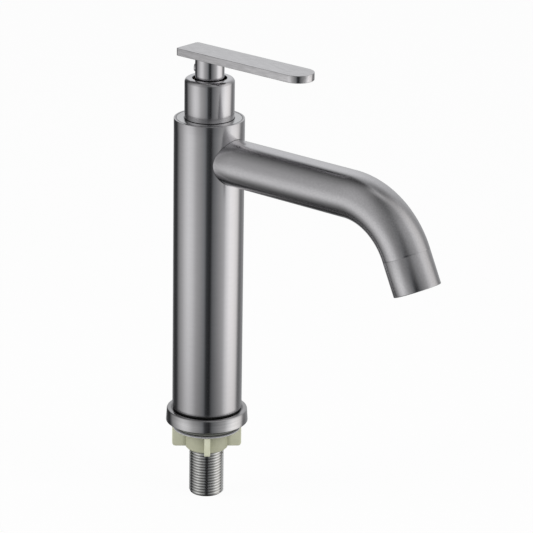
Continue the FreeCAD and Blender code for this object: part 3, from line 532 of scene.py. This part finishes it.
def rod(radius, start, end, sides):
    """A round or many-sided bar between two points, to cut with."""
    start, end = Vector(start), Vector(end)
    axis = end - start
    bpy.ops.object.select_all(action="DESELECT")
    bpy.ops.mesh.primitive_cylinder_add(
        vertices=sides, radius=radius, depth=axis.length, location=(start + end) / 2.0,
        rotation=axis.to_track_quat("Z", "Y").to_euler())
    return bpy.context.object


def softened(piece, width, segments):
    """Rounds the sharp edges."""
    work_on(piece)
    bevel = piece.modifiers.new("edges", "BEVEL")
    bevel.width = width
    bevel.segments = segments
    bevel.limit_method = "ANGLE"
    bevel.angle_limit = SHARP_ABOVE
    bpy.ops.object.modifier_apply(modifier=bevel.name)


def settle(piece, name, body, slot):
    """Names the finished piece, shades it, gives it its finish and stands it in for its node."""
    work_on(piece)
    bpy.ops.object.transform_apply()
    bpy.ops.object.mode_set(mode="EDIT")
    tidy_shell()
    bpy.ops.object.mode_set(mode="OBJECT")
    bpy.ops.object.shade_smooth_by_angle(angle=SMOOTH_BELOW)
    piece.name = name
    piece.data.name = name
    piece.data.materials.clear()
    piece.data.materials.append(finish_of(slot))
    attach(piece, body)
    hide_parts(name.removesuffix("_look"))


# Column and base


class TapColumnSizes(bpy.types.PropertyGroup):
    """Sizes of the column and its cap."""

    radius: size("Column radius", "Outside radius of the column", outer("column_tube"))
    wall: size("Column wall", "Thickness of the column's wall", 1.5 * MM)
    foot: size("Column foot", "Height of the column's lower end", foot("column_tube"))
    top: size("Column top", "Height of the column's upper end", top("column_tube"))
    edge: size("Column edge", "Rounding of the column's ends", 0.3 * MM)
    cap_radius: size("Cap radius", "Outside radius of the cap", outer("column_cap"))
    cap_hole: size("Cap hole", "Radius of the cap's hole", 12.95 * MM)
    cap_foot: size("Cap foot", "Height of the cap's underside", foot("column_cap"))
    saddle: size("Saddle", "Radius of the hole that the spout goes through", 14.1 * MM)


class TapBaseSizes(bpy.types.PropertyGroup):
    """Sizes of the base ring and of the seal on it."""

    foot_radius: size("Ring foot", "Radius of the base ring at its foot", outer("base_ring"))
    crown_radius: size("Ring crown", "Radius of the base ring at its crown", 24.3 * MM)
    bore: size("Ring bore", "Radius of the base ring's hole", 10.88 * MM)
    height: size("Ring height", "Height of the base ring", top("base_ring"))
    edge: size("Ring edge", "Rounding of the ring's upper edge", 0.7 * MM)
    groove_inner: size("Groove inside", "Inner radius of the seal's groove", 20.8 * MM)
    groove_outer: size("Groove outside", "Outer radius of the seal's groove", 23.2 * MM)
    groove_height: size("Groove height", "Depth of the seal's groove", top("deck_seal"))
    seal_radius: size("Joint radius", "Outside radius of the joint's seal", outer("joint_seal"))
    seal_width: size("Joint width", "Width of the joint's seal", 6.5 * MM)


class TAP_OT_column(bpy.types.Operator):
    """Makes the column with its saddle hole, and the cap in its top"""

    bl_idname = "tap.column"
    bl_label = "Column"

    def execute(self, context):
        s = context.scene.tap_column
        bore = s.radius - s.wall
        level = top("spout_tube") - outer("spout_tube")
        below, above = level - SADDLE_BAND * s.saddle, level + SADDLE_BAND * s.saddle
        tube = turned([
            (bore, s.foot, HAIR), (s.radius, s.foot, s.edge), (s.radius, below, SHARP),
            (s.radius, above, SHARP), (s.radius, s.top, s.edge), (bore, s.top, HAIR),
            (bore, above, SHARP), (bore, below, SHARP),
        ], steps=180)
        inside, outside = (0.5 * s.radius, 0.0, level), (1.5 * s.radius, 0.0, level)
        carved(tube, rod(s.saddle, inside, outside, sides=96))
        settle(tube, "column_tube_look", "tap_body", "column_steel")
        cap = turned([
            (s.cap_hole, s.cap_foot, BROKEN), (s.cap_radius, s.cap_foot, BROKEN),
            (s.cap_radius, s.top, EASED), (s.cap_hole, s.top, BROKEN),
        ])
        settle(cap, "column_cap_look", "tap_body", "cap_steel")
        return {"FINISHED"}


class TAP_OT_base(bpy.types.Operator):
    """Makes the base ring, and the seal between it and the column"""

    bl_idname = "tap.base"
    bl_label = "Base ring"

    def execute(self, context):
        s = context.scene.tap_base
        ring = turned([
            (s.bore, 0.0, BROKEN), (s.groove_inner, 0.0, FINE),
            (s.groove_inner, s.groove_height, SHARP), (s.groove_outer, s.groove_height, SHARP),
            (s.groove_outer, 0.0, FINE), (s.foot_radius, 0.0, SOFT),
            (s.crown_radius, s.height, s.edge), (s.bore, s.height, BROKEN),
        ], steps=192)
        settle(ring, "base_ring_look", "tap_body", "ring_steel")
        inner, low, high = s.seal_radius - s.seal_width, foot("joint_seal"), top("joint_seal")
        seal = turned([
            (inner, low, FINE), (s.seal_radius, low, SOFT),
            (s.seal_radius, high, SOFT), (inner, high, FINE),
        ])
        settle(seal, "joint_seal_look", "tap_body", "seal_rubber")
        return {"FINISHED"}


# Spout


class TapSpoutSizes(bpy.types.PropertyGroup):
    """Sizes of the spout and of the sleeve at its outlet."""

    radius: size("Spout radius", "Outside radius of the spout", outer("spout_tube"))
    wall: size("Spout wall", "Thickness of the spout's wall", 1.2 * MM)
    start: size("Spout start", "Radius inside the column where the spout ends", 16.05 * MM)
    run: size("Spout run", "Where the level run ends and the bend starts", 107.9 * MM)
    bend: size("Bend radius", "Radius of the bend's centre line", 45.5 * MM)
    tail: size("Spout tail", "Straight length after the bend", 1.0 * MM)
    sleeve_length: size("Sleeve length", "Length of the outlet sleeve", 20.65 * MM)
    sleeve_thread: size("Sleeve bore", "Radius of the bore that holds the aerator", 12.05 * MM)
    sleeve_depth: size("Bore depth", "How deep the aerator's bore goes", 12.0 * MM)
    sleeve_neck: size("Sleeve neck", "Radius of the narrow bore above the aerator", 11.0 * MM)
    sleeve_edge: size("Outlet edge", "Rounding of the outlet's rim", 0.4 * MM)
    seam: size("Seam", "Rounding of the fine seam between spout and sleeve", 0.15 * MM)
    angle: bpy.props.FloatProperty(
        name="Bend angle", description="How far the spout bends down",
        default=math.radians(65.4), subtype="ANGLE", unit="ROTATION")


class TAP_OT_spout(bpy.types.Operator):
    """Makes the bent spout and the sleeve at its outlet"""

    bl_idname = "tap.spout"
    bl_label = "Spout"

    def execute(self, context):
        s = context.scene.tap_spout
        level = top("spout_tube") - s.radius
        heading = Vector((math.cos(s.angle), 0.0, -math.sin(s.angle)))
        centre = Vector((s.run, 0.0, level - s.bend))
        bpy.ops.object.select_all(action="DESELECT")
        bpy.ops.mesh.primitive_circle_add(
            vertices=96, radius=s.radius, fill_type="NOTHING",
            location=(0.0, 0.0, level), rotation=(0.0, math.radians(90.0), 0.0))
        tube = context.object
        bpy.ops.object.transform_apply()
        edit_points()
        part = (s.run / RUN_PARTS, 0.0, 0.0)
        for _ in range(RUN_PARTS):
            bpy.ops.mesh.extrude_region_move(TRANSFORM_OT_translate={"value": part})
        bpy.ops.mesh.spin(steps=48, angle=s.angle, center=centre, axis=(0.0, -1.0, 0.0))
        bpy.ops.mesh.extrude_region_move(TRANSFORM_OT_translate={"value": heading * s.tail})
        tidy_shell()
        bpy.ops.object.mode_set(mode="OBJECT")
        wall = tube.modifiers.new("wall", "SOLIDIFY")
        wall.thickness = s.wall
        wall.offset = -1.0
        wall.use_even_offset = True
        bpy.ops.object.modifier_apply(modifier=wall.name)
        below, above = (0.0, 0.0, level - CUTTER_REACH), (0.0, 0.0, level + CUTTER_REACH)
        carved(tube, rod(s.start, below, above, sides=128))
        softened(tube, s.seam, segments=2)
        settle(tube, "spout_tube_look", "tap_body", "spout_steel")
        outlet = centre + s.bend * Vector((math.sin(s.angle), 0.0, math.cos(s.angle)))
        outlet += heading * (s.tail + s.sleeve_length)
        sleeve = turned([
            (s.sleeve_thread, 0.0, s.sleeve_edge), (s.radius, 0.0, s.sleeve_edge),
            (s.radius, s.sleeve_length, s.seam), (s.sleeve_neck, s.sleeve_length, SHARP),
            (s.sleeve_neck, s.sleeve_depth, HAIR), (s.sleeve_thread, s.sleeve_depth, SHARP),
        ], steps=128)
        sleeve.matrix_world = Matrix.Translation(outlet) @ Matrix.Rotation(
            s.angle - math.radians(90.0), 4, "Y")
        settle(sleeve, "outlet_sleeve_look", "tap_body", "sleeve_steel")
        return {"FINISHED"}


# Bonnet and handle


class TapHandleSizes(bpy.types.PropertyGroup):
    """Sizes of the bonnet, the neck, the set screw and the lever."""

    bonnet_radius: size("Bonnet radius", "Outside radius of the bonnet", outer("bonnet"))
    bonnet_bore: size("Bonnet bore", "Radius of the bonnet's bore", 12.95 * MM)
    bonnet_hole: size("Bonnet hole", "Radius of the hole in the bonnet's top", 10.25 * MM)
    bonnet_crown: size("Bonnet crown", "Thickness of the bonnet's top", 2.8 * MM)
    bonnet_round: size("Bonnet round", "Rounding of the bonnet's upper edge", 2.4 * MM)
    post_radius: size("Post radius", "Radius of the neck under the lever", 8.65 * MM)
    post_bore: size("Post bore", "Radius of the bore that holds the splined bush", 6.25 * MM)
    lever_edge: size("Lever edge", "Rounding of the lever's long edges", 0.25 * MM)
    lever_corner: size("Lever corner", "Rounding of the lever's rear corners", 1.8 * MM)
    screw_radius: size("Screw radius", "Radius of the set screw", 2.5 * MM)
    screw_height: size("Screw height", "Height of the set screw's axis", 220.25 * MM)
    screw_start: size("Screw point", "Where the set screw's point is, from the axis", 4.05 * MM)
    screw_end: size("Screw end", "Where the set screw's outer end is, from the axis", 9.25 * MM)
    screw_key: size("Screw key", "Half the width across the socket's flats", 1.25 * MM)
    screw_socket: size("Screw socket", "Depth of the set screw's socket", 2.4 * MM)
    screw_side: bpy.props.FloatProperty(
        name="Screw side", description="Which way the set screw faces, about the axis from +X",
        default=math.radians(210.0), subtype="ANGLE", unit="ROTATION")


class TAP_OT_bonnet(bpy.types.Operator):
    """Makes the round cup on top of the column"""

    bl_idname = "tap.bonnet"
    bl_label = "Bonnet"

    def execute(self, context):
        s = context.scene.tap_handle
        low, high = foot("bonnet"), top("bonnet")
        ceiling = high - s.bonnet_crown
        bonnet = turned([
            (s.bonnet_bore, low, BROKEN), (s.bonnet_radius, low, ROUND),
            (s.bonnet_radius, high, s.bonnet_round), (s.bonnet_hole, high, ROUND),
            (s.bonnet_hole, ceiling, BROKEN), (s.bonnet_bore, ceiling, SHARP),
        ])
        settle(bonnet, "bonnet_look", "tap_body", "bonnet_steel")
        return {"FINISHED"}


class TAP_OT_handle(bpy.types.Operator):
    """Makes the neck, its set screw and the flat lever"""

    bl_idname = "tap.handle"
    bl_label = "Handle"

    def execute(self, context):
        s = context.scene.tap_handle
        out = Vector((math.cos(s.screw_side), math.sin(s.screw_side), 0.0))
        spot = Vector((0.0, 0.0, s.screw_height))
        self.make_post(s, spot, out)
        self.make_screw(s, spot, out)
        self.make_lever(context, s)
        return {"FINISHED"}

    def make_post(self, s, spot, out):
        """The neck, hollow for the bush, with a hole for the set screw."""
        low, high, ceiling = foot("lever_post"), top("lever_post"), top("spline_bush")
        post = turned([
            (s.post_bore, low, BROKEN), (s.post_radius, low, SOFT),
            (s.post_radius, s.screw_height - SCREW_BAND, SHARP),
            (s.post_radius, s.screw_height + SCREW_BAND, SHARP), (s.post_radius, high, SHARP),
            (0.0, high, SHARP), (0.0, ceiling, SHARP), (s.post_bore, ceiling, SHARP),
        ])
        beyond = spot + 2.0 * s.post_radius * out
        carved(post, rod(s.screw_radius + SCREW_GAP, spot, beyond, sides=48))
        settle(post, "lever_post_look", "handle", "post_steel")

    def make_screw(self, s, spot, out):
        """The set screw, with a tapered point, and a hexagon socket in its domed end."""
        length = s.screw_end - s.screw_start
        screw = turned([
            (0.0, 0.0, SHARP), (s.screw_radius - SCREW_TAPER, 0.0, SHARP),
            (s.screw_radius, SCREW_TAPER, SHARP), (s.screw_radius, length, SCREW_DOME),
            (0.0, length, SHARP),
        ], steps=48)
        corner = s.screw_key / math.cos(math.radians(30.0))
        bottom, beyond = (0.0, 0.0, length - s.screw_socket), (0.0, 0.0, length + MM)
        carved(screw, rod(corner, bottom, beyond, sides=6))
        screw.matrix_world = Matrix.Translation(spot + s.screw_start * out) @ (
            out.to_track_quat("Z", "Y").to_matrix().to_4x4())
        settle(screw, "grub_screw_look", "handle", "post_steel")

    def make_lever(self, context, s):
        """A bar with small rear corners and a half-round tip, all its long edges rounded."""
        low, high = (Vector(corner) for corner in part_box("lever_plate"))
        bpy.ops.object.select_all(action="DESELECT")
        bpy.ops.mesh.primitive_cube_add(size=1.0, location=(low + high) / 2.0, scale=high - low)
        lever = context.object
        bpy.ops.object.transform_apply()
        bpy.ops.object.mode_set(mode="EDIT")
        middle = (low.x + high.x) / 2.0

        def round_corners(at_tip, rounding, segments):
            def wanted(edge):
                first, second = (vert.co for vert in edge.verts)
                return abs(first.z - second.z) > MM and (first.x > middle) == at_tip

            pick(lever, "edges", wanted)
            bpy.ops.mesh.bevel(offset=rounding, segments=segments, affect="EDGES")

        round_corners(True, (high.y - low.y) * TIP_SHARE, TIP_SEGMENTS)
        round_corners(False, s.lever_corner, CORNER_SEGMENTS)
        bpy.ops.object.mode_set(mode="OBJECT")
        softened(lever, s.lever_edge, segments=4)
        settle(lever, "lever_plate_look", "handle", "lever_steel")


# Deck fixing


class TapFixingSizes(bpy.types.PropertyGroup):
    """Sizes of the gasket, the washer and the nut."""

    hole: size("Washer hole", "Radius of the hole in the gasket and the washer", 10.88 * MM)
    gasket_round: size("Gasket edge", "Rounding of the gasket's edges", 0.5 * MM)
    washer_round: size("Washer edge", "Rounding of the washer's edges", 0.2 * MM)
    hub: size("Nut hub", "Radius beyond which the nut's edges are moulded round", 12.3 * MM)
    nut_round: size("Nut edge", "Rounding of the nut's moulded edges", 0.35 * MM)


class TAP_OT_fixing(bpy.types.Operator):
    """Makes the gasket, the clamp washer and the wing nut"""

    bl_idname = "tap.fixing"
    bl_label = "Deck fixing"

    def execute(self, context):
        s = context.scene.tap_fixing
        for node, rounding, slot in (
            ("deck_gasket", s.gasket_round, "gasket_rubber"),
            ("clamp_washer", s.washer_round, "washer_steel"),
        ):
            radius, low, high = outer(node), foot(node), top(node)
            disc = turned([
                (s.hole, low, rounding), (radius, low, rounding),
                (radius, high, rounding), (s.hole, high, rounding),
            ])
            settle(disc, f"{node}_look", "clamp_stack", slot)
        self.make_nut(context, s)
        return {"FINISHED"}

    def make_nut(self, context, s):
        """A copy of the threaded nut, with the outer edges of its hub and wings moulded round."""
        bpy.ops.object.select_all(action="DESELECT")
        nut = bpy.data.objects.new("wing_nut_look", NODES["wing_nut"].data.copy())
        context.collection.objects.link(nut)
        work_on(nut)
        bpy.ops.mesh.customdata_custom_splitnormals_clear()
        bpy.ops.object.mode_set(mode="EDIT")
        tidy_shell()

        def beyond(item):
            return all(math.hypot(vert.co.x, vert.co.y) > s.hub for vert in item.verts)

        pick(nut, "faces", beyond)
        bpy.ops.mesh.dissolve_limited(angle_limit=FLAT)
        pick(nut, "edges", lambda edge: beyond(edge) and edge.calc_face_angle_signed(0.0) > MOULDED)
        bpy.ops.mesh.bevel(offset=s.nut_round, segments=3, affect="EDGES")
        bpy.ops.object.mode_set(mode="OBJECT")
        settle(nut, "wing_nut_look", "nut", "nut_plastic")


# Studio


# What the metal sees all round: degrees about Z from +X, level, warmth, and the softbox, if any
ALL_ROUND = (
    (-180, 0.03, -0.03, None), (-172, 0.07, -0.03, None), (-161, 0.34, 0.0, "left"),
    (-145, 0.56, 0.0, "left"), (-131, 0.83, 0.0, "left"), (-118, 1.0, 0.0, "left"),
    (-104, 0.91, 0.0, "left"), (-88, 0.56, 0.0, "left"), (-74, 0.42, 0.0, "left"),
    (-61, 0.22, -0.03, None), (-54, 0.05, -0.05, None), (-41, 0.02, -0.05, None),
    (-34, 0.14, -0.03, None), (-24, 0.22, -0.02, None), (-10, 0.31, 0.0, "right"),
    (4, 0.44, 0.0, "right"), (14, 0.72, 0.0, "right"), (28, 0.95, 0.01, "right"),
    (44, 0.91, 0.02, "right"), (60, 0.72, 0.02, "right"), (74, 0.24, 0.0, None),
    (84, 0.22, 0.0, None), (98, 0.32, -0.01, None), (130, 0.48, -0.01, None),
    (145, 0.46, -0.01, None), (158, 0.07, -0.02, None), (180, 0.03, -0.03, None),
)

# How those levels change with height, in front and behind, and the light added from overhead:
# degrees above the horizon, and level
FRONT = (
    (-90, 0.07), (-55, 0.22), (-43, 0.46), (-33, 0.84), (-26, 1.06), (-19, 1.1), (-13, 1.02),
    (-5, 0.92), (3, 0.76), (12, 0.64), (22, 0.6), (31, 0.55), (45, 0.45), (60, 0.32),
    (80, 0.24), (90, 0.22),
)
BACK = (
    (-90, 0.04), (-45, 0.08), (-30, 0.6), (-19, 0.9), (0, 1.3), (19, 1.42), (36, 1.5),
    (46, 1.4), (56, 1.0), (68, 0.6), (90, 0.4),
)
OVERHEAD = ((0, 0.0), (15, 0.12), (45, 0.26), (60, 0.2), (90, 0.1))

# Degrees over which each side of those two regions fades, about Z, and the zenith's, in height
BEHIND = ((66, 82), (150, 170))
AHEAD = ((-75, -30), (60, 90))
ZENITH = (74, 88)

# How much of the light from overhead is left away from the front, and how much the zenith adds
OVERHEAD_REST = 0.25
ZENITH_LEVEL = 0.3

# Each lamp's name, place, side in metres and power in watts, and what they are aimed at
LAMPS = (
    ("lamp_left", (-0.7, -1.1, 0.7), 0.8, 9.0),
    ("lamp_right", (1.4, 0.3, 0.9), 0.9, 10.0),
)
LAMP_AIM = (0.05, 0.0, 0.1)

# The floor's darker tone, as a share of its colour
FLOOR_DARKER = 0.97

SENSOR_WIDTH = 36.0
CLIP_END = 20.0
WHITE = (1.0, 1.0, 1.0, 1.0)


class TapStageSettings(bpy.types.PropertyGroup):
    """Settings of the floor, the light and the camera."""

    floor_height: bpy.props.FloatProperty(
        name="Floor height", description="Height of the floor, just under the shank's end",
        default=CAD_BOX[0].z - 0.5 * MM, unit="LENGTH")
    floor_size: bpy.props.FloatProperty(
        name="Floor size", description="Side of the square floor", default=6.0, unit="LENGTH")
    floor_colour: bpy.props.FloatVectorProperty(
        name="Floor colour", description="Pale colour of the floor", subtype="COLOR",
        default=(0.86, 0.86, 0.86))
    floor_white: bpy.props.FloatProperty(
        name="Floor whiteness", description="How far the floor fades into the white background",
        default=0.95, subtype="FACTOR", min=0.0, max=1.0)
    fill: bpy.props.FloatProperty(
        name="Fill light", description="Light from all round on plain surfaces", default=0.5)
    left_box: bpy.props.FloatProperty(
        name="Left softbox", description="Level of the bright panel on the left in the metal",
        default=0.78)
    right_box: bpy.props.FloatProperty(
        name="Right softbox", description="Level of the bright panel on the right in the metal",
        default=1.1)
    lens: bpy.props.FloatProperty(
        name="Lens", description="Focal length of the camera", default=212.47, unit="CAMERA")
    camera_place: bpy.props.FloatVectorProperty(
        name="Camera place", description="Where the camera stands", subtype="TRANSLATION",
        default=(1.182775, -1.325804, 0.707213))
    camera_turn: bpy.props.FloatVectorProperty(
        name="Camera turn", description="The camera's turn about X, Y and Z", subtype="EULER",
        default=(math.radians(71.075011), math.radians(-0.811458), math.radians(40.890651)))


def at(degrees):
    """The place of a direction about Z on a scale from 0 to 1."""
    return degrees / 360.0 + 0.5


def up(degrees):
    """The place of a direction above or below the horizon on a scale from 0 to 1."""
    return degrees / 180.0 + 0.5


def surroundings(g, settings):
    """Softboxes and dark cards, as only the metal sees them."""
    direction = g.node("ShaderNodeTexCoord", {}, {}, output="Generated")
    x, y, z = g.parts(direction)
    turn = g.maths("ARCTAN2", y, x) / (2.0 * math.pi) + 0.5
    rise = g.maths("ARCSINE", z) / math.pi + 0.5
    boxes = {"left": settings.left_box, "right": settings.right_box, None: 1.0}

    def tinted(level, warmth):
        return (level * (1.0 + warmth), level, level * (1.0 - warmth))

    def region(start, end):
        fade_in = g.between(turn, *map(at, start))
        return fade_in * (1.0 - g.between(turn, *map(at, end)))

    all_round = g.ramp(turn, [
        (at(degrees), tinted(level * boxes[box], warmth))
        for degrees, level, warmth, box in ALL_ROUND])
    front, back, overhead = (
        g.ramp(rise, [(up(degrees), level) for degrees, level in stops])
        for stops in (FRONT, BACK, OVERHEAD))
    shape = front + region(*BEHIND) * (back - front)
    scaled = g.vector_maths("SCALE", {0: all_round, "Scale": shape})
    share = OVERHEAD_REST + (1.0 - OVERHEAD_REST) * region(*AHEAD)
    glow = overhead * share + ZENITH_LEVEL * g.between(rise, *map(up, ZENITH))
    return g.vector_maths("ADD", {0: scaled, 1: glow})


def studio_world(settings):
    """White to the camera, an even fill to plain surfaces, and the surroundings to the metal."""
    world = bpy.data.worlds.new("studio")
    bpy.context.scene.world = world
    world.cycles.sampling_method = "NONE"
    g = Graph(world)
    light_path = g.node("ShaderNodeLightPath", {}, {})
    rays = {output.name: Value(g, output) for output in light_path.socket.node.outputs}
    mirror = g.maths("MAXIMUM", rays["Is Glossy Ray"], rays["Is Transmission Ray"])
    even = (settings.fill, settings.fill, settings.fill, 1.0)
    unseen = g.blend(mirror, even, surroundings(g, settings))
    shown = g.blend(rays["Is Camera Ray"], unseen, WHITE)
    shader = g.node("ShaderNodeBackground", {}, {"Color": shown, "Strength": 1.0})
    g.node("ShaderNodeOutputWorld", {}, {"Surface": shader})


def floor_finish(settings):
    """Pale and plain, fading into the white background, with the object's shadow kept."""
    material, g = finish("floor_pale")
    mottle = g.between(g.noise(g.place(), FLOOR_MOTTLE), *CLOUD_STEP)
    pale = tuple(settings.floor_colour)
    dim = tuple(FLOOR_DARKER * part for part in pale)
    colour = g.blend(mottle, (*pale, 1.0), (*dim, 1.0))
    plain = g.node("ShaderNodeBsdfDiffuse", {}, {"Color": colour})
    white = g.node("ShaderNodeEmission", {}, {"Color": WHITE, "Strength": 1.0})
    camera = g.node("ShaderNodeLightPath", {}, {}, output="Is Camera Ray")
    fade = camera * settings.floor_white
    mixed = g.node("ShaderNodeMixShader", {}, {0: fade, 1: plain, 2: white})
    g.node("ShaderNodeOutputMaterial", {}, {"Surface": mixed})
    return material


def softbox(name, place, side, power):
    """A square area lamp that plain surfaces see and the metal does not."""
    bpy.ops.object.light_add(type="AREA", location=place)
    lamp = bpy.context.object
    lamp.name = name
    lamp.data.shape = "SQUARE"
    lamp.data.size = side
    lamp.data.energy = power
    lamp.rotation_euler = (Vector(LAMP_AIM) - Vector(place)).to_track_quat("-Z", "Y").to_euler()
    lamp.visible_glossy = False
    lamp.visible_camera = False


class TAP_OT_stage(bpy.types.Operator):
    """Makes the floor, the studio's light and the camera"""

    bl_idname = "tap.stage"
    bl_label = "Stage"

    def execute(self, context):
        settings = context.scene.tap_stage
        bpy.ops.object.select_all(action="DESELECT")
        bpy.ops.mesh.primitive_plane_add(
            size=settings.floor_size, location=(0.0, 0.0, settings.floor_height))
        floor = context.object
        floor.name = "floor"
        floor.data.materials.append(floor_finish(settings))
        floor.visible_glossy = False
        studio_world(settings)
        for lamp in LAMPS:
            softbox(*lamp)
        bpy.ops.object.camera_add(location=settings.camera_place, rotation=settings.camera_turn)
        camera = context.object
        camera.name = "camera"
        camera.data.lens = settings.lens
        camera.data.sensor_width = SENSOR_WIDTH
        camera.data.clip_end = CLIP_END
        context.scene.camera = camera
        context.scene.view_settings.view_transform = "Standard"
        return {"FINISHED"}


# Add-on


class TAP_OT_inner(bpy.types.Operator):
    """Gives the CAD nodes that stay their finishes"""

    bl_idname = "tap.inner"
    bl_label = "Inner pieces"

    def execute(self, context):
        for piece in NODES.values():
            if not piece.hide_render:
                for holder in piece.material_slots:
                    holder.material = finish_of(holder.name.split(".")[0])
        return {"FINISHED"}


class TAP_PT_panel(bpy.types.Panel):
    """Lists the steps that build the tap"""

    bl_idname = "TAP_PT_panel"
    bl_label = "Basin Tap"
    bl_space_type = "VIEW_3D"
    bl_region_type = "UI"
    bl_category = "Tap"

    def draw(self, context):
        for step in STEPS:
            self.layout.operator(step.bl_idname)


STEPS = (
    TAP_OT_stage, TAP_OT_column, TAP_OT_base, TAP_OT_spout, TAP_OT_bonnet, TAP_OT_handle,
    TAP_OT_fixing, TAP_OT_inner,
)
GROUPS = {
    "tap_stage": TapStageSettings,
    "tap_column": TapColumnSizes,
    "tap_base": TapBaseSizes,
    "tap_spout": TapSpoutSizes,
    "tap_handle": TapHandleSizes,
    "tap_fixing": TapFixingSizes,
}


def register():
    """Registers the classes and gives the scene its settings."""
    for kind in (*GROUPS.values(), *STEPS, TAP_PT_panel):
        bpy.utils.register_class(kind)
    for name, kind in GROUPS.items():
        setattr(bpy.types.Scene, name, bpy.props.PointerProperty(type=kind))


def unregister():
    """Takes the settings off the scene and unregisters the classes."""
    for name in GROUPS:
        delattr(bpy.types.Scene, name)
    for kind in reversed((*GROUPS.values(), *STEPS, TAP_PT_panel)):
        bpy.utils.unregister_class(kind)


def main():
    """Runs every step in turn."""
    register()
    bpy.ops.tap.stage()
    bpy.ops.tap.column()
    bpy.ops.tap.base()
    bpy.ops.tap.spout()
    bpy.ops.tap.bonnet()
    bpy.ops.tap.handle()
    bpy.ops.tap.fixing()
    bpy.ops.tap.inner()


if __name__ == "__main__":
    main()
